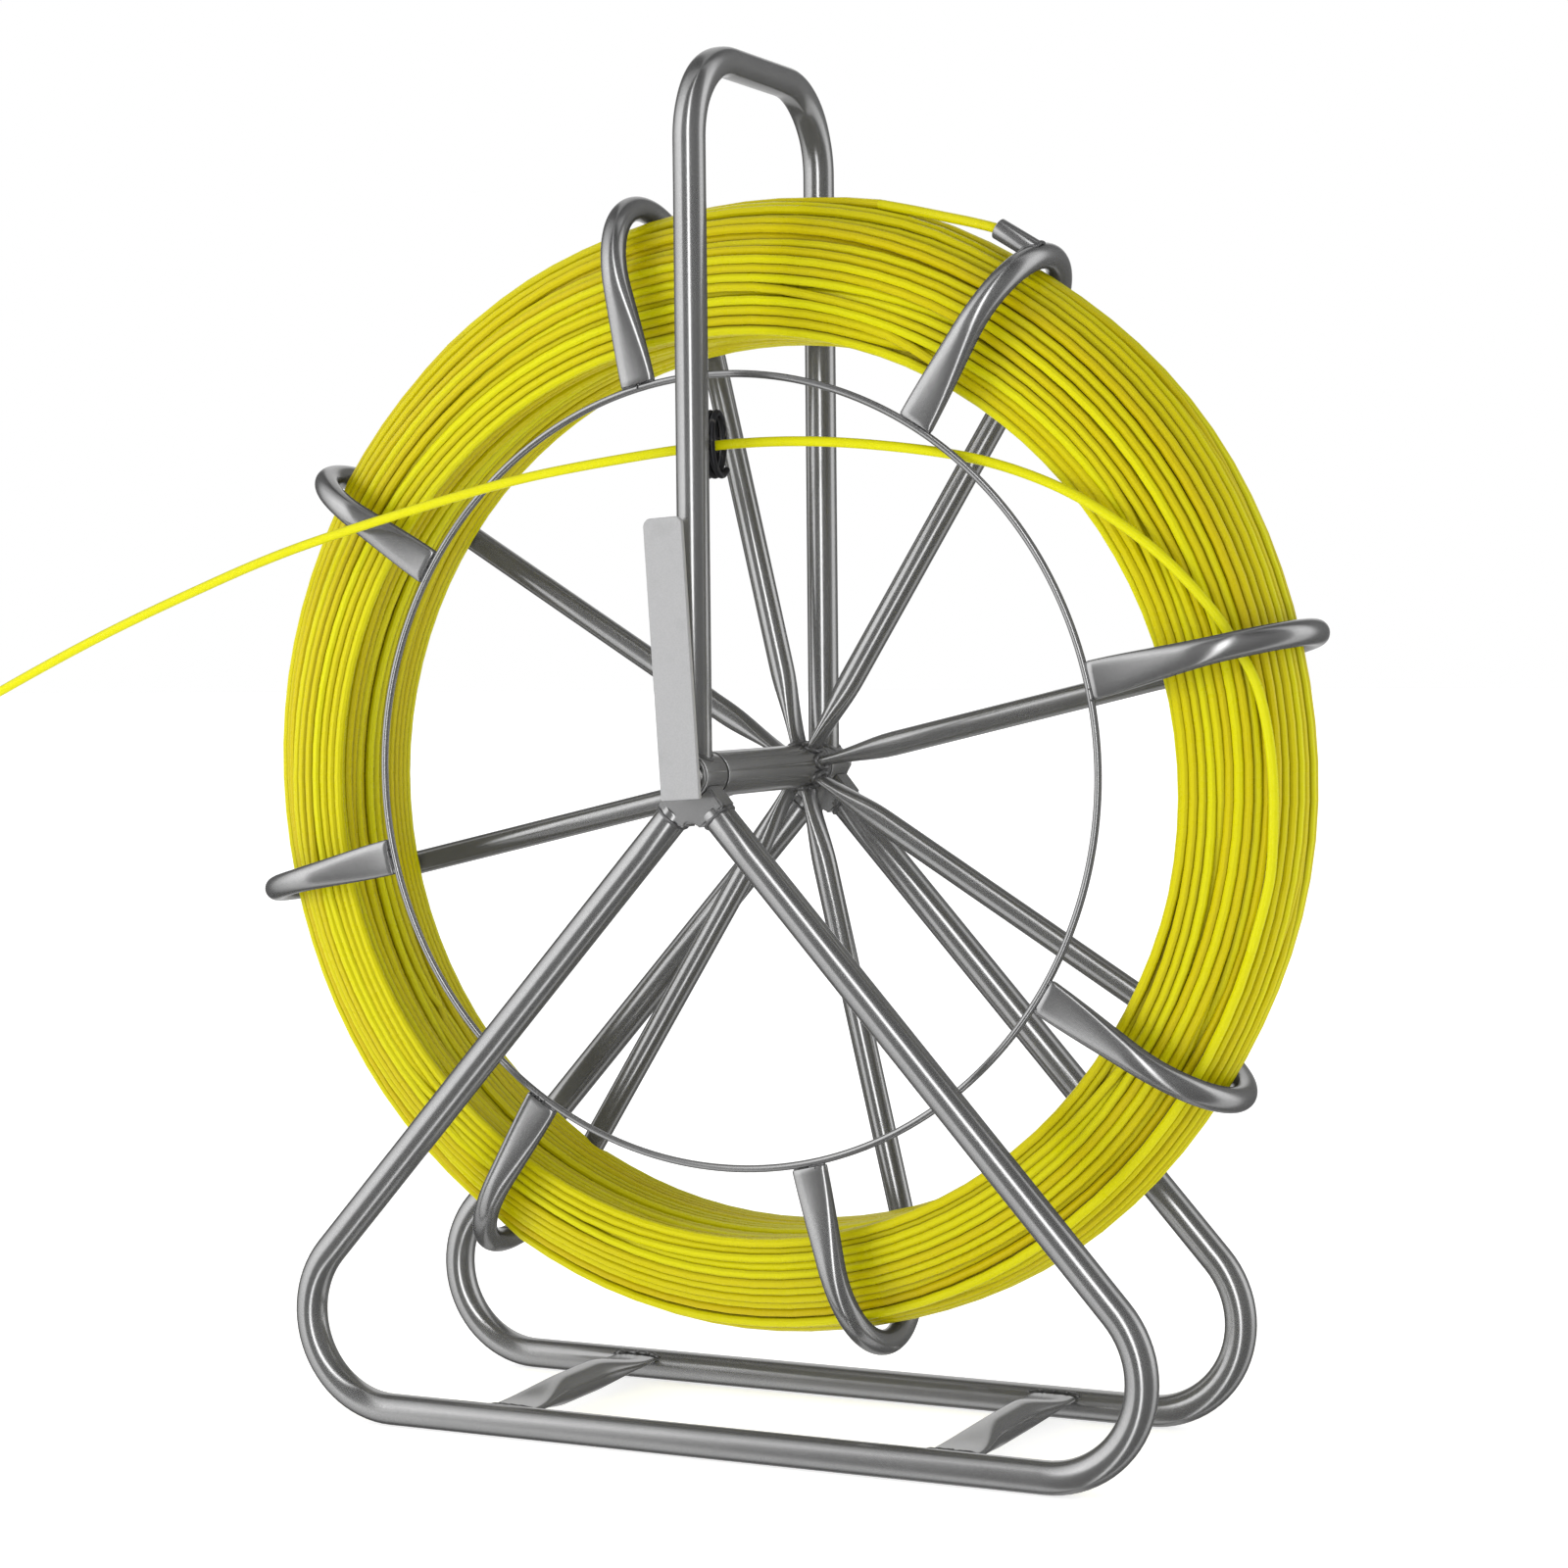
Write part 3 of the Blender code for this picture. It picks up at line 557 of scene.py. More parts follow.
def ease(low, high, share):
    share = np.clip(share, 0.0, 1.0)
    return low + (high - low) * share * share * (3 - 2 * share)


def between(a, b, c, d, t):
    """From b to c on a Catmull-Rom curve, at t from 0 to 1."""
    return 0.5 * (2 * b + (c - a) * t + (2 * a - 5 * b + 4 * c - d) * t * t
                  + (3 * b - a - 3 * c + d) * t ** 3)


def catmull_rom(knots, readings=24):
    """A smooth curve through the knots, as the CAD draws it."""
    knots = np.asarray(knots, dtype=float)
    ends = np.vstack([2 * knots[0] - knots[1], knots, 2 * knots[-1] - knots[-2]])
    t = (np.arange(readings) / readings)[:, None]
    fine = [between(*four, t) for four in zip(ends, ends[1:], ends[2:], ends[3:])]
    return np.vstack(fine + [knots[-1:]])


def evenly(path, step):
    """Read a fine path at an even spacing."""
    run = np.concatenate([[0.0], np.cumsum(np.linalg.norm(np.diff(path, axis=0), axis=1))])
    goals = np.linspace(0.0, run[-1], round(run[-1] / step) + 1)
    return np.stack([np.interp(goals, run, path[:, i]) for i in range(3)], axis=1)


def about_axle(angle, rows):
    """Turn (across, y, out) rows about the axle, from the top towards +X."""
    rows = np.asarray(rows, dtype=float)
    x = rows[:, 0] * math.cos(angle) + rows[:, 2] * math.sin(angle)
    z = rows[:, 2] * math.cos(angle) - rows[:, 0] * math.sin(angle)
    return columns(x, rows[:, 1], AXLE_Z + z)


# ---- welds --------------------------------------------------------------------------
BEAD_STEP = 0.0006            # between a bead's sections


def bead(path, radius, seed, closed=False):
    """A weld bead: a thin tube along a seam, with ripples and uneven thickness."""
    if closed:
        fine = evenly(np.vstack([path, path[:1]]), BEAD_STEP)[:-1]
    else:
        fine = evenly(np.asarray(path), BEAD_STEP)
    count = len(fine)
    chance = np.random.default_rng(seed)
    ripple = 0.10 * np.sin(np.arange(count) * 0.6 + chance.uniform(0, 6))
    coarse = chance.normal(0.0, 0.16, max(4, count // 8) + 1)
    coarse[-1] = coarse[0]
    uneven = np.interp(np.linspace(0, len(coarse) - 1, count), np.arange(len(coarse)), coarse)
    thick = radius * (1.0 + ripple + uneven)
    return sweep(fine, thick, across=(0.31, 0.87, 0.38), sides=10, closed=closed,
                 edge=radius * 0.5)


def blob(place, size, seed):
    """A small lump of weld or spatter: a squashed, uneven ball."""
    chance = np.random.default_rng(seed)
    tilt = chance.uniform(-0.3, 0.3, 3)
    rows, sides = 7, 10
    rise = np.linspace(-math.pi / 2, math.pi / 2, rows + 2)[1:-1, None]
    turn = round_turn(sides)
    ball = columns(np.cos(rise) * np.cos(turn), np.cos(rise) * np.sin(turn), np.sin(rise))
    ball = ball * (1 + 0.12 * np.sin(3 * turn + tilt[0] * 9)[None, :, None])
    points = ball.reshape(-1, 3) * np.asarray(size) + np.asarray(place)
    return points, capped_faces(rows, sides)


# ---- the stand ----------------------------------------------------------------------
def side_frame_path():
    centre = Vector((BASE_REACH - BASE_BEND, TUBE_R + BASE_BEND))
    away = LEG_TOP - centre
    touch = math.atan2(away.y, away.x) - math.acos(BASE_BEND / away.length)
    bend = arc(centre, BASE_BEND, touch, -math.pi / 2, 28)
    leg = np.linspace(LEG_TOP, bend[0], 12)[:-1]
    right = np.vstack([leg, bend])
    left = right[::-1] * (-1.0, 1.0)
    base = np.linspace(right[-1], left[0], 14)[1:-1]
    return np.vstack([right, base, left])


def in_plane(pairs, y):
    return columns(pairs[:, 0], y, pairs[:, 1])


def make_stand():
    for end, side in (("front", -1), ("rear", 1)):
        node = end + "_side_frame"
        path = in_plane(side_frame_path(), side * POST_Y)
        piece(node + "_tube", [sweep(path, TUBE_R)], PAINT, "stand", [node])
        boss = softened([(BOSS_BORE, BOSS_IN), (BOSS_R, BOSS_IN), (BOSS_R, BOSS_OUT),
                         (BOSS_BORE, BOSS_OUT)], 0.0009)
        shape = turned([(r, side * y) for r, y in boss][::side])
        piece(end + "_boss", [shape], PAINT, "stand", [end + "_axle_boss"])
        make_gusset(end, side)
        washer = softened([(BOLT_R + GAP, 0.0), (WASHER_R, 0.0), (WASHER_R, WASHER_T),
                           (BOLT_R + GAP, WASHER_T)], 0.0003)
        rows = [(r, side * (BOSS_OUT + GAP + y)) for r, y in washer][::side]
        piece(end + "_flat_washer", [turned(rows)], ZINC, "stand", [end + "_washer"])
    make_handle()
    make_cross_tube("left")
    make_cross_tube("right")
    make_guide()
    make_stand_welds()


def make_gusset(end, side):
    """Cast-looking saddle under a boss, which takes in the two leg tops."""
    path = side_frame_path()
    leg = unit(path[1] - path[0])
    across = np.array((-leg[1], leg[0])) * TUBE_R * 0.98
    wrap = math.radians(66)
    saddle = arc((0.0, AXLE_Z), BOSS_R - 0.0006, -math.pi / 2 - wrap, -math.pi / 2 + wrap, 18)
    low = np.array((LEG_TOP.x, LEG_TOP.y)) + leg * 0.004
    outer, inner = low + across, low - across
    if outer[0] < inner[0]:
        outer, inner = inner, outer
    under = arc((0.0, inner[1] - 0.001), 0.004, 0.25, math.pi - 0.25, 6)
    outline = np.vstack([saddle, [outer], [inner], under, [inner * (-1, 1)], [outer * (-1, 1)]])
    near = side * POST_Y - GUSSET_T / 2
    shape = extruded(outline, near, near + GUSSET_T)
    bevel(shape, 0.6, GUSSET_ROUND)
    piece(end + "_gusset_casting", [taken(shape)], PAINT, "stand", [end + "_gusset"])


def make_handle():
    """Two posts and the carry bar in one tube, the bar pressed a little flat."""
    foot = AXLE_Z + BOSS_R * 0.62
    turn = (POST_Y - HANDLE_BEND, HANDLE_TOP - HANDLE_BEND)
    post = columns(POST_Y, np.linspace(foot, turn[1], 24))
    half = np.vstack([post[:-1], arc(turn, HANDLE_BEND, 0.0, math.pi / 2, 32)])
    bar = np.linspace(half[-1], half[-1] * (-1, 1), 14)[1:-1]
    rows = np.vstack([half, bar, half[::-1] * (-1.0, 1.0)])
    path = columns(0.0, rows[:, 0], rows[:, 1])
    high = np.clip((path[:, 2] - (HANDLE_TOP - 0.030)) / 0.030, 0.0, 1.0)
    wide = ease(TUBE_R, TUBE_R * 1.035, high)
    deep = ease(TUBE_R, TUBE_R * 0.93, high)
    shape = sweep(path, wide, deep, across=(1.0, 0.0, 0.0), power=2.0 + 0.5 * high)
    piece("handle_posts_and_bar", [shape], PAINT, "stand", ["handle_tube"])


def make_cross_tube(side):
    """Tube between the base bars, its ends pressed flat against their inner sides."""
    y = np.linspace(-CROSS_REACH, CROSS_REACH, 73)
    x = node_middle(side + "_cross_tube").x
    path = columns(x, y, CROSS_Z)
    pressed = (CROSS_REACH - np.abs(y) - CROSS_FLAT_LENGTH) / CROSS_FLAT_TAPER
    wide = ease(CROSS_FLAT[0], TUBE_R, pressed)
    deep = ease(CROSS_FLAT[1], TUBE_R, pressed)
    power = ease(3.6, 2.0, pressed)
    shape = sweep(path, wide, deep, across=(1.0, 0.0, 0.0), power=power, edge=0.0010)
    piece(side + "_cross_member", [shape], PAINT, "stand", [side + "_cross_tube"])


def make_guide():
    share = np.linspace(0.0, 1.0, round(GUIDE_TURNS * 48) + 1)
    turn = GUIDE_START + math.tau * GUIDE_TURNS * share
    path = columns(GUIDE_PITCH * GUIDE_TURNS * (share - 0.5),
                   GUIDE_MIDDLE.y - GUIDE_HALF_Y * np.sin(turn),
                   GUIDE_MIDDLE.z + GUIDE_HALF_Z * np.cos(turn))
    shape = sweep(path, GUIDE_WIRE_R, across=(1.0, 0.0, 0.0), sides=WIRE_SIDES)
    piece("guide_coil", [shape], WIRE, "stand", ["rod_guide"])


def make_stand_welds():
    """Beads at the posts' feet, the legs' tops, the cross tubes and the guide."""
    for end, side in (("front", -1), ("rear", 1)):
        turn = round_turn(72)
        x, y = TUBE_R * np.cos(turn), side * POST_Y + TUBE_R * np.sin(turn)
        z = AXLE_Z + np.sqrt(BOSS_R ** 2 - x * x)
        seams = [bead(columns(x, y, z), 0.0013, 11 + side, closed=True)]
        path = side_frame_path()
        leg = unit(path[1] - path[0])
        normal = np.array((-leg[1], leg[0]))
        for flip in (-1, 1):
            start = np.array((LEG_TOP.x, LEG_TOP.y)) + leg * 0.0050
            flat = start + normal * TUBE_R * np.cos(turn)[:, None]
            ring = columns(flip * flat[:, 0], side * POST_Y + TUBE_R * np.sin(turn), flat[:, 1])
            seams.append(bead(ring, 0.0011, 31 + side + 5 * flip, closed=True))
        for name in ("left_cross_tube", "right_cross_tube"):
            run = np.linspace(-1.0, 1.0, 9)
            x = node_middle(name).x + CROSS_FLAT[0] * 1.08 * run
            z = CROSS_Z + CROSS_FLAT[1] - 0.0016 * run ** 4
            y = side * (POST_Y - np.sqrt(TUBE_R ** 2 - (z - TUBE_R) ** 2) - 0.0003)
            seams.append(bead(columns(x, y, z), 0.0016, 61 + side + len(name)))
            for i in range(4):
                spot = (x[2 * i], y[2 * i] - side * 0.0016, z[2 * i] + 0.0008)
                seams.append(blob(spot, (0.0011, 0.0009, 0.0007), 70 + i + len(name)))
        piece(end + "_frame_welds", seams, WELD, "stand")
    near = GUIDE_MIDDLE.y - GUIDE_HALF_Y - 0.0010
    specks = [blob((x, near, GUIDE_MIDDLE.z + z), (0.0022, 0.0014, 0.0030), 90 + i)
              for i, (x, z) in enumerate(((-0.0045, 0.006), (0.0, -0.002), (0.0045, 0.003)))]
    piece("guide_welds", specks, WELD, "stand")


# ---- lever, bolt and nut ------------------------------------------------------------
def bevelled_prism(outline, y_from, y_to, width, turn=0.0):
    """Extrude an (x, z) outline along Y, bevel its edges and place it on the axle."""
    shape = extruded(outline, y_from, y_to)
    bevel(shape, 1.0, width)
    bmesh.ops.rotate(shape, verts=shape.verts, matrix=Matrix.Rotation(turn, 3, "Y"))
    bmesh.ops.translate(shape, verts=shape.verts, vec=(0.0, 0.0, AXLE_Z))
    return taken(shape)


def threaded_rod(radius, y_from, y_to, pitch=0.00175, depth=0.0010):
    """A bar with a screw thread, as one height field round the axle."""
    rows = round(abs(y_to - y_from) / (pitch / 8))
    y = np.linspace(y_from, y_to, rows + 1)
    angle = round_turn(THREAD_SIDES)
    phase = (y[:, None] / pitch - angle / math.tau) % 1.0
    groove = np.abs(phase - 0.5) * 2
    out = radius - depth * np.clip(groove * 1.3 - 0.15, 0.0, 1.0)
    taper = np.clip((abs(y_to) - np.abs(y)) / 0.0010, 0.0, 1.0)[:, None]
    out = out - (1.0 - taper) * 0.0009
    x, z = out * np.sin(angle), AXLE_Z + out * np.cos(angle)
    points = columns(x, y[:, None], z).reshape(-1, 3)
    return points, capped_faces(rows + 1, THREAD_SIDES)


def hexagon(radius):
    return arc((0.0, 0.0), radius, 0.0, math.tau, 6)[:-1]


def make_brake():
    half, top = LEVER_W / 2, LEVER_L - LEVER_BELOW_AXLE
    corner = (half - LEVER_CORNER, top - LEVER_CORNER)
    outline = np.vstack([[(-half, -LEVER_BELOW_AXLE), (half, -LEVER_BELOW_AXLE)],
                         arc(corner, LEVER_CORNER, 0.0, math.pi / 2, 10),
                         arc((-corner[0], corner[1]), LEVER_CORNER, math.pi / 2, math.pi, 10)])
    plate = bevelled_prism(outline, -BOLT_END, LEVER_T - BOLT_END, 0.0005, LEVER_TILT)
    piece("lever_plate", [plate], LEVER_PAINT, "lever", ["brake_lever"])
    face = LEVER_T + GAP - BOLT_END
    head = bevelled_prism(hexagon(HEX_R), face, face + HEAD_T, 0.0006)
    shank = turned(softened([(0.00001, face + 0.001), (BOLT_R, face + 0.001),
                             (BOLT_R, BOSS_OUT - 0.004), (0.00001, BOSS_OUT - 0.004)], 0.0002))
    thread = threaded_rod(BOLT_R, BOSS_OUT - 0.0045, BOLT_END)
    piece("bolt_and_thread", [head, shank, thread], ZINC, "lever", ["axle_bolt"])
    face = BOSS_OUT + 2 * GAP + WASHER_T
    nut = bevelled_prism(hexagon(HEX_R), face, face + NUT_T, 0.0008)
    ring = turned(softened([(BOLT_R + GAP, face + NUT_T - 0.0006), (HEX_R * 0.80, face + NUT_T),
                            (HEX_R * 0.80, face + NUT_T + 0.0003),
                            (BOLT_R + GAP, face + NUT_T + 0.0003)], 0.0001))
    piece("hex_nut", [nut, ring], ZINC, "stand", ["axle_nut"])


# ---- the reel's frame ---------------------------------------------------------------
def spoke_rows():
    """A spoke's centre line as (radius, y), and its half widths and squareness."""
    root = HUB_R + GAP
    leg = columns(np.linspace(root, BEND_CENTRE[0], 46), SPOKE_Y)
    bend = arc(BEND_CENTRE, BEND_R, math.pi / 2, -math.pi / 2, 48)
    toe_end = RING_R + RING_WIRE_R + GAP
    toe = columns(np.linspace(BEND_CENTRE[0], toe_end, 18), RING_Y)
    rows = np.vstack([leg[:-1], bend, toe[1:]])
    middle = len(leg) + len(bend) // 2
    out_root = (rows[:, 0] - root) / ROOT_TAPER
    out_toe = (rows[:, 0] - RING_R) / TOE_TAPER
    early = np.arange(len(rows)) < middle
    wide = np.where(early, ease(ROOT[0], SPOKE_R, out_root), ease(TOE[0], SPOKE_R, out_toe))
    deep = np.where(early, ease(ROOT[1], SPOKE_R, out_root), ease(TOE[1], SPOKE_R, out_toe))
    power = np.where(early, 2.0, ease(3.4, 2.0, out_toe * 0.9))
    return rows, wide, deep, power


def make_spokes():
    rows, wide, deep, power = spoke_rows()
    path = columns(0.0, rows[:, 1], rows[:, 0])
    for i in range(SPOKES):
        angle = SPOKE_PHASE + math.tau * i / SPOKES
        across = np.array((math.cos(angle), 0.0, -math.sin(angle)))
        shape = sweep(about_axle(angle, path), wide, deep, across=across, sides=32,
                      power=power, edge=0.0009)
        piece("spoke_tube_%d" % (i + 1), [shape], PAINT, "reel", ["spoke_%d" % (i + 1)])


def make_hub():
    wall = softened([(HUB_BORE, -HUB_END), (HUB_R, -HUB_END), (HUB_R, HUB_END),
                     (HUB_BORE, HUB_END)], 0.0008)
    piece("hub_sleeve", [turned(wall[::-1])], PAINT, "reel", ["hub_tube"])
    seat, bore, body = HUB_END + GAP, BOLT_R + GAP, HUB_BORE - GAP
    bush = softened([(bore, seat + 0.0015), (0.0132, seat + 0.0015), (0.0132, seat),
                     (body, seat), (body, seat - 0.020), (bore, seat - 0.020)], 0.0002)
    for end, side in (("front", -1), ("rear", 1)):
        shape = turned([(r, side * y) for r, y in bush][::-side])
        piece(end + "_plain_bush", [shape], PLASTIC, "reel", [end + "_bush"])


def make_ring():
    turn = round_turn(240)
    path = columns(RING_R * np.sin(turn), RING_Y, AXLE_Z + RING_R * np.cos(turn))
    shape = sweep(path, RING_WIRE_R, sides=WIRE_SIDES, closed=True)
    piece("ring_wire", [shape], PAINT, "reel", ["front_ring"])


def make_holder():
    """A short open tube, square to its hook and welded to the hook's bend."""
    sides = 32
    turn = round_turn(sides)
    loop = softened([(HOLDER_BORE, HOLDER_FROM), (HOLDER_R, HOLDER_FROM),
                     (HOLDER_R, HOLDER_TO), (HOLDER_BORE, HOLDER_TO)], 0.0005)
    rows = [columns(x, HOLDER_Y + radius * np.cos(turn), HOLDER_RADIUS + radius * np.sin(turn))
            for radius, x in loop]
    shape = about_axle(HOLDER_ANGLE, np.vstack(rows)), grid_faces(len(loop), sides, True)
    piece("rod_holder", [shape], PAINT, "reel", ["rod_end_holder"])


def make_reel_welds():
    """Weld mass at the hub, beads where the toes meet the ring, and the holder's weld."""
    hub, toes = [], []
    for i in range(SPOKES):
        angle = SPOKE_PHASE + math.tau * i / SPOKES
        chance = np.random.default_rng(200 + i)
        turn = round_turn(48)
        wide, deep = ROOT[0] * 1.15, ROOT[1] * 0.99
        x = wide * np.cos(turn)
        rows = columns(x, SPOKE_Y + deep * np.sin(turn), np.sqrt(HUB_R ** 2 - x * x))
        hub.append(bead(about_axle(angle, rows), 0.0018, 210 + i, closed=True))
        for _ in range(3):
            spot = (chance.uniform(-0.004, 0.004), SPOKE_Y + chance.uniform(-0.011, 0.011),
                    HUB_R + chance.uniform(-0.0004, 0.0014))
            hub.append(blob(about_axle(angle, [spot])[0], chance.uniform(0.0009, 0.0019, 3),
                            230 + i))
        reach = RING_R + RING_WIRE_R
        for side in (-1, 1):
            seam = [(side * TOE[0] * s, RING_Y + 0.0006 * side, reach + 0.0008 - 0.0012 * s * s)
                    for s in (0.05, 0.35, 0.65, 0.95)]
            toes.append(bead(about_axle(angle, seam), 0.0013, 260 + 2 * i + side))
        for _ in range(4):
            spot = (chance.uniform(-0.013, 0.013), RING_Y - chance.uniform(0.0012, 0.0028),
                    reach + chance.uniform(-0.002, 0.004))
            toes.append(blob(about_axle(angle, [spot])[0], chance.uniform(0.0005, 0.0010, 3),
                             290 + i))
    piece("hub_welds", hub, WELD, "reel")
    piece("ring_welds", toes, WELD, "reel")
    around = np.linspace(-0.30, 1.30, 15) * math.pi
    y, up = HOLDER_R * np.cos(around), HOLDER_R * np.sin(around)
    hook_r = BEND_CENTRE[0] + np.sqrt(BEND_R ** 2 - (HOLDER_Y + y - BEND_CENTRE[1]) ** 2)
    off = np.clip(HOLDER_RADIUS + up - hook_r, -SPOKE_R, SPOKE_R)
    along = np.minimum(-np.sqrt(SPOKE_R ** 2 - off ** 2), HOLDER_TO)
    rows = columns(along, HOLDER_Y + y, HOLDER_RADIUS + up)
    seam = bead(about_axle(HOLDER_ANGLE, rows), 0.0012, 320)
    piece("holder_welds", [seam], WELD, "reel")


# ---- the wound rod ------------------------------------------------------------------
STATIONS = 96                 # points round one turn
SHELLS = 8                    # nested layers of the pack
SHELL_STEP = 0.0054           # from one layer to the next
STRAND_STEP = 0.0057          # spacing along a layer at its tightest
STRAND_APART = 0.00598        # least distance between centre lines
SECTION_MIDDLE = (0.302, 0.0070)
SECTION_REACH = (0.0415, 0.0405)
SECTION_INNER = 0.2925        # innermost centre line where the pack is tightest
ROD_SIDES = 10
COIL_PIECES = 4
CORNER_SHARE = 0.33           # where the outer layer's front corner ends, round the layer
TAIL_START = HOLDER_ANGLE + math.radians(TAIL_ROUTE[0][0])
RUN_START = math.atan2(FREE_RUN[0][0], FREE_RUN[0][2])
RELAX_ROUNDS = 170
# In each round: straightening along the rod, pull back to its layer in the first share
# of the rounds, push between strands that overlap, and push towards the pack's outside.
STRAIGHTEN, PULL_BACK, PULL_SHARE, PUSH, SPRINGINESS = 0.22, 0.03, 0.8, 0.32, 0.00012
# Painted shade in the grooves between strands: how dark it gets, the centre distance where it
# starts, and its range.
GROOVE_SHADE_DARK = 0.62            # how dark a groove between two strands gets
GROOVE_FROM, GROOVE_OVER = 0.0082, 0.0022      # centre distance where it starts, its range


def inner_radius(theta):
    """The pack's inner edge: a circle dropped a little below the axle."""
    return 0.2795 - 0.0105 * np.cos(theta) - 0.0030 * np.sin(theta) - 0.0035 * np.cos(2 * theta)


def outer_bulge(theta):
    """How far the pack stands out between the hooks, most of all under the rod's tail."""
    past = (theta - SPOKE_PHASE) % math.tau
    hump = 0.0030 * np.exp(-((past - math.radians(33.0)) / math.radians(6.0)) ** 2)
    return 0.0016 * (1 - np.cos(SPOKES * past)) / 2 + hump


def layer_point(shell, share, theta):
    """(radius, y) at a share of the way round a layer, from its front to its rear edge."""
    inset = shell * SHELL_STEP
    out = SECTION_REACH[0] - inset + outer_bulge(theta)
    half = SECTION_REACH[1] - inset
    flat = SECTION_MIDDLE[0] - inner_radius(theta)
    bend = math.pi * (out + half) / 2
    run = share * (2 * flat + bend)
    turn = np.clip((run - flat) / bend, 0.0, 1.0) * math.pi - math.pi / 2
    radius = SECTION_MIDDLE[0] + out * np.cos(turn)
    radius = radius - np.clip(flat - run, 0.0, None) - np.clip(run - flat - bend, 0.0, None)
    return columns(radius, SECTION_MIDDLE[1] + half * np.sin(turn))


def winding_order():
    """Layer and share of each turn, from the rod's tail to its free run.

    The tail starts in the outer layer, just behind its front corner, and runs to the
    rear. The inner layers follow, to and fro. The outer layer's front part comes last.
    """
    counts = []
    for shell in range(SHELLS):
        out = sum(SECTION_REACH) / 2 - shell * SHELL_STEP
        flat = SECTION_MIDDLE[0] - SECTION_INNER
        counts.append(max(2, int((2 * flat + math.pi * out) / STRAND_STEP) + 1))
    outer = [(0, i / (counts[0] - 1)) for i in range(counts[0])]
    front = round(counts[0] * CORNER_SHARE)
    order = outer[front:]
    for shell in range(1, SHELLS):
        row = [(shell, i / (counts[shell] - 1)) for i in range(counts[shell])]
        order += row[::-1] if shell % 2 else row
    return order + outer[:front]


def smooth_noise(chance, count, step, size):
    """Smooth noise along a chain of points, with a wave every `step` points or so."""
    knots = chance.normal(0.0, size, count // step + 4)
    at = np.arange(count) / step + 1.0
    low = at.astype(int)
    return between(*(knots[low + k] for k in (-1, 0, 1, 2)), at - low)


def wind_rod():
    """Centre line of the wound rod, as (radius, y) and angles from the top towards +X.

    Every turn starts in its own place in the section and drifts to the next one's. The
    strands are then pushed apart where they overlap, station by station.
    """
    order = winding_order()
    shells = np.array([row[0] for row in order], dtype=float)
    shares = np.array([row[1] for row in order])
    part_turn = (TAIL_START - RUN_START) % math.tau / math.tau
    count = int((len(order) - 1) * STATIONS + part_turn * STATIONS) + 1
    turns = np.arange(count) / STATIONS
    theta = TAIL_START - math.tau * turns
    here = np.minimum(turns.astype(int), len(order) - 1)
    there = np.minimum(here + 1, len(order) - 1)
    drift = (turns - here)[:, None]
    rows = (layer_point(shells[here], shares[here], theta) * (1 - drift)
            + layer_point(shells[there], shares[there], theta) * drift)
    chance = np.random.default_rng(7)
    for step, size in ((24, 0.0010), (64, 0.0026)):
        rows[:, 0] += smooth_noise(chance, count, step, size)
        rows[:, 1] += smooth_noise(chance, count, step, size)
    slack = np.clip(smooth_noise(chance, count, 40, 0.035), 0.0, 0.07)
    wanted, held = tie_down_ends(rows, theta)
    return relax(wanted, held, theta, slack), theta


def tie_down_ends(rows, theta):
    """Lead both ends of the wound rod from their layer to where the tail and run start."""
    wanted = rows.copy()
    held = np.zeros(len(rows), dtype=bool)
    start = np.array((TAIL_ROUTE[0][1:], (0.3452, -0.0025), (0.3434, -0.0005), (0.3430, 0.0010)))
    lead = STATIONS // 4
    top = np.interp(np.arange(lead), (0, 2, 5, lead), start[:, 0])
    side = np.interp(np.arange(lead), (0, 2, 5, lead), start[:, 1])
    blend = ease(0.0, 1.0, (np.arange(lead) - 5) / (lead - 5.0))[:, None]
    wanted[:lead] = columns(top, side) * (1 - blend) + rows[:lead] * blend
    held[:lead] = np.arange(lead) < lead - 4
    wanted[0] = TAIL_ROUTE[0][1:]
    first = np.array((math.hypot(FREE_RUN[0][0], FREE_RUN[0][2]), FREE_RUN[0][1]))
    lead = STATIONS // 3
    back = np.arange(lead)
    blend = ease(0.0, 1.0, (back - STATIONS / 24) / (lead - STATIONS / 24))[:, None]
    tail = rows[::-1][:lead]
    wanted[::-1][:lead] = first * (1 - blend) + tail * blend
    held[::-1][:lead] = back < lead - 4
    return wanted, held


def relax(wanted, held, theta, slack):
    """Push overlapping strands apart, keeping them smooth and inside the cage."""
    count = len(wanted)
    rows = whole_turns(wanted)
    free = ~held
    free_inner = free[1:-1, None]
    inner = inner_radius(theta)
    bulge = outer_bulge(theta)
    for step in range(RELAX_ROUNDS):
        chain = rows[:count]
        chain[1:-1] += free_inner * STRAIGHTEN * (chain[:-2] + chain[2:] - 2 * chain[1:-1])
        if step < RELAX_ROUNDS * PULL_SHARE:
            chain[free] += PULL_BACK * (wanted[free] - chain[free])
        away = (chain - SECTION_MIDDLE) / SECTION_REACH
        away[:, 0] = np.clip(away[:, 0], 0.0, None)
        chain[free] += SPRINGINESS * away[free]
        if step % 6 == 0:
            first, second = close_pairs(rows)
        gap = rows[first] - rows[second]
        apart = np.maximum(np.linalg.norm(gap, axis=1), 1e-6)
        push = (np.clip(STRAND_APART - apart, 0.0, None) * PUSH / apart)[:, None] * gap
        move = np.zeros_like(rows)
        np.add.at(move, first, push)
        np.subtract.at(move, second, push)
        move[:count][held] = 0.0
        rows += move
        keep_inside(chain, free, inner, bulge, slack)
    return rows[:count]


def whole_turns(chain):
    """The chain filled up to whole turns with points far from it and from each other."""
    missing = -len(chain) % STATIONS
    return np.vstack([chain, np.full((missing, 2), 9.0) + np.arange(missing)[:, None]])


